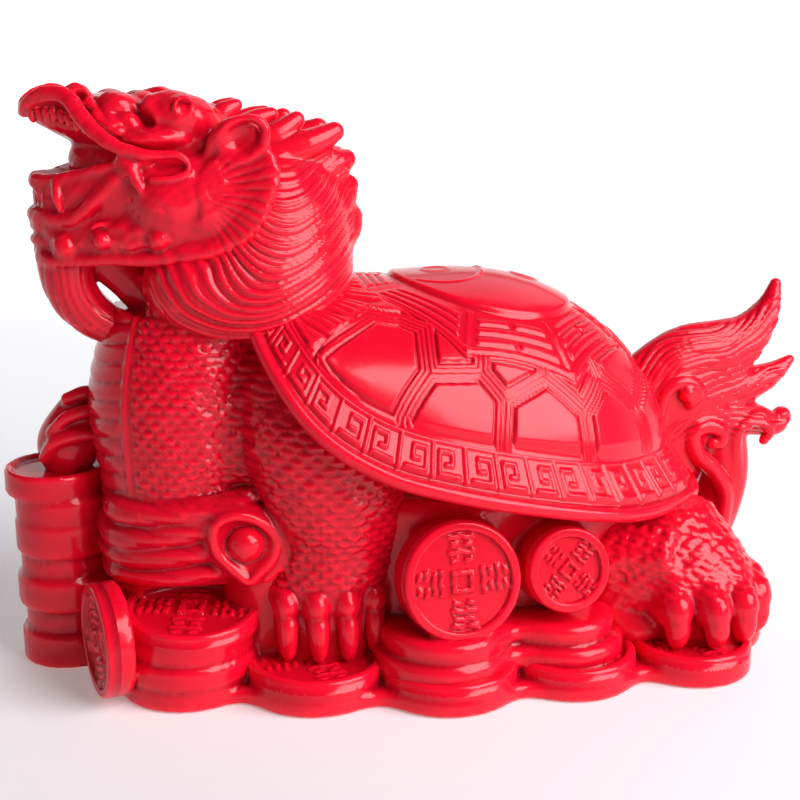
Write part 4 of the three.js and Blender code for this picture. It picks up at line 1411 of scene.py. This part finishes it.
def floor_material():
    """Pale floor with painted light: it glows faintly behind the figure, like a lit studio sweep."""
    material, tree = new_material("studio_floor")
    place = node_output(tree, "ShaderNodeTexCoord", "Object", {})
    parts = tree.nodes.new("ShaderNodeSeparateXYZ")
    set_inputs(tree, parts, {"Vector": place})
    rise = node_output(tree, "ShaderNodeMapRange", "Result", {"Value": parts.outputs["Z"], "From Max": 0.25})
    # Painted light: the floor glows, more strongly from its front towards its back
    back = {"Value": parts.outputs["Y"], "From Min": -0.2, "From Max": 0.9, "To Min": 0.1, "To Max": 0.85}
    set_inputs(tree, tree.nodes["Principled BSDF"], {
        "Base Color": mixed_colour(tree, rise, (0.76, 0.76, 0.77), (0.3, 0.3, 0.31)),
        "Roughness": 0.7,
        "Emission Color": (1, 1, 1, 1),
        "Emission Strength": node_output(tree, "ShaderNodeMapRange", "Result", back),
    })
    return material


# Studio


# The backdrop's profile in metres: the reach of the flat floor, the radius of the bend and the wall's top
FLOOR_REACH = 1.1
BEND_RADIUS = 0.35
WALL_TOP = 0.55
FLOOR_TURNS = 64


def backdrop():
    """A pale floor that bends up into a round wall."""
    angle = np.linspace(0, math.pi / 2, 10)
    reach = np.array([0.001, *(FLOOR_REACH + BEND_RADIUS * np.sin(angle)), FLOOR_REACH + BEND_RADIUS])
    height = np.array([0, *(BEND_RADIUS * (1 - np.cos(angle))), WALL_TOP])
    turn = np.linspace(0, 2 * math.pi, FLOOR_TURNS, endpoint=False)
    x, y = reach[:, None] * np.cos(turn), reach[:, None] * np.sin(turn)
    rows = np.stack([x, y, height[:, None] + 0 * x], axis=-1)
    faces = sheet_faces(len(reach), FLOOR_TURNS, wrap=True)
    mesh = bpy.data.meshes.new("studio_floor")
    mesh.from_pydata(rows.reshape(-1, 3).tolist(), [], faces.tolist())
    mesh.shade_smooth()
    mesh.materials.append(floor_material())
    new_object("studio_floor", mesh)


def add_light(name, place, size, power, colour):
    """A rectangular light that faces the middle of the figure."""
    light = bpy.data.lights.new(name, "AREA")
    light.shape = "RECTANGLE"
    light.size, light.size_y = size
    light.energy = power
    light.color = colour
    lamp = new_object(name, light)
    lamp.location = place
    lamp.rotation_euler = (Vector((0, 0, 0.06)) - Vector(place)).to_track_quat("-Z", "Y").to_euler()


def studio():
    backdrop()
    world = bpy.data.worlds.new("studio")
    bpy.context.scene.world = world
    world.use_nodes = True
    background = world.node_tree.nodes["Background"]
    set_inputs(world.node_tree, background, {"Color": (1, 1, 1, 1), "Strength": 0.07})
    add_light("key", (0.447, -0.479, 0.46), (0.62, 0.68), 10.4, (1, 0.96, 1))
    add_light("back", (0.25, 0.6, 0.62), (0.8, 0.5), 1.2, (0.78, 0.86, 1))
    bpy.context.scene.view_settings.view_transform = "Standard"


# The camera stands left of the head's front, a little above. Its turn and tilt are in degrees
CAMERA_TURN = 16.0
CAMERA_TILT = 14.5
CAMERA_PLACE = (-80.845, -278.777, 127.0)
CAMERA_LENS = 63.0


def camera():
    data = bpy.data.cameras.new("camera")
    data.lens = CAMERA_LENS
    data.sensor_width = 36
    data.clip_start = 0.01
    eye = new_object("camera", data)
    place = (Vector(CAMERA_PLACE) - Vector((MIDDLE_X, 0, 0))) * MM
    look = Euler((math.radians(90 - CAMERA_TILT), 0, math.radians(-CAMERA_TURN)))
    eye.matrix_world = Matrix.LocRotScale(place, look, None)
    bpy.context.scene.camera = eye


PIECES = (carapace, shell_rim, head, mane, chest_and_legs, hind_legs, tail, coin_bed, coins, ingot)


def build():
    camera()
    red = resin()
    skins = [make() for make in PIECES]
    for skin in skins:
        make_piece(exposed(skin, skins), red)
    studio()


build()
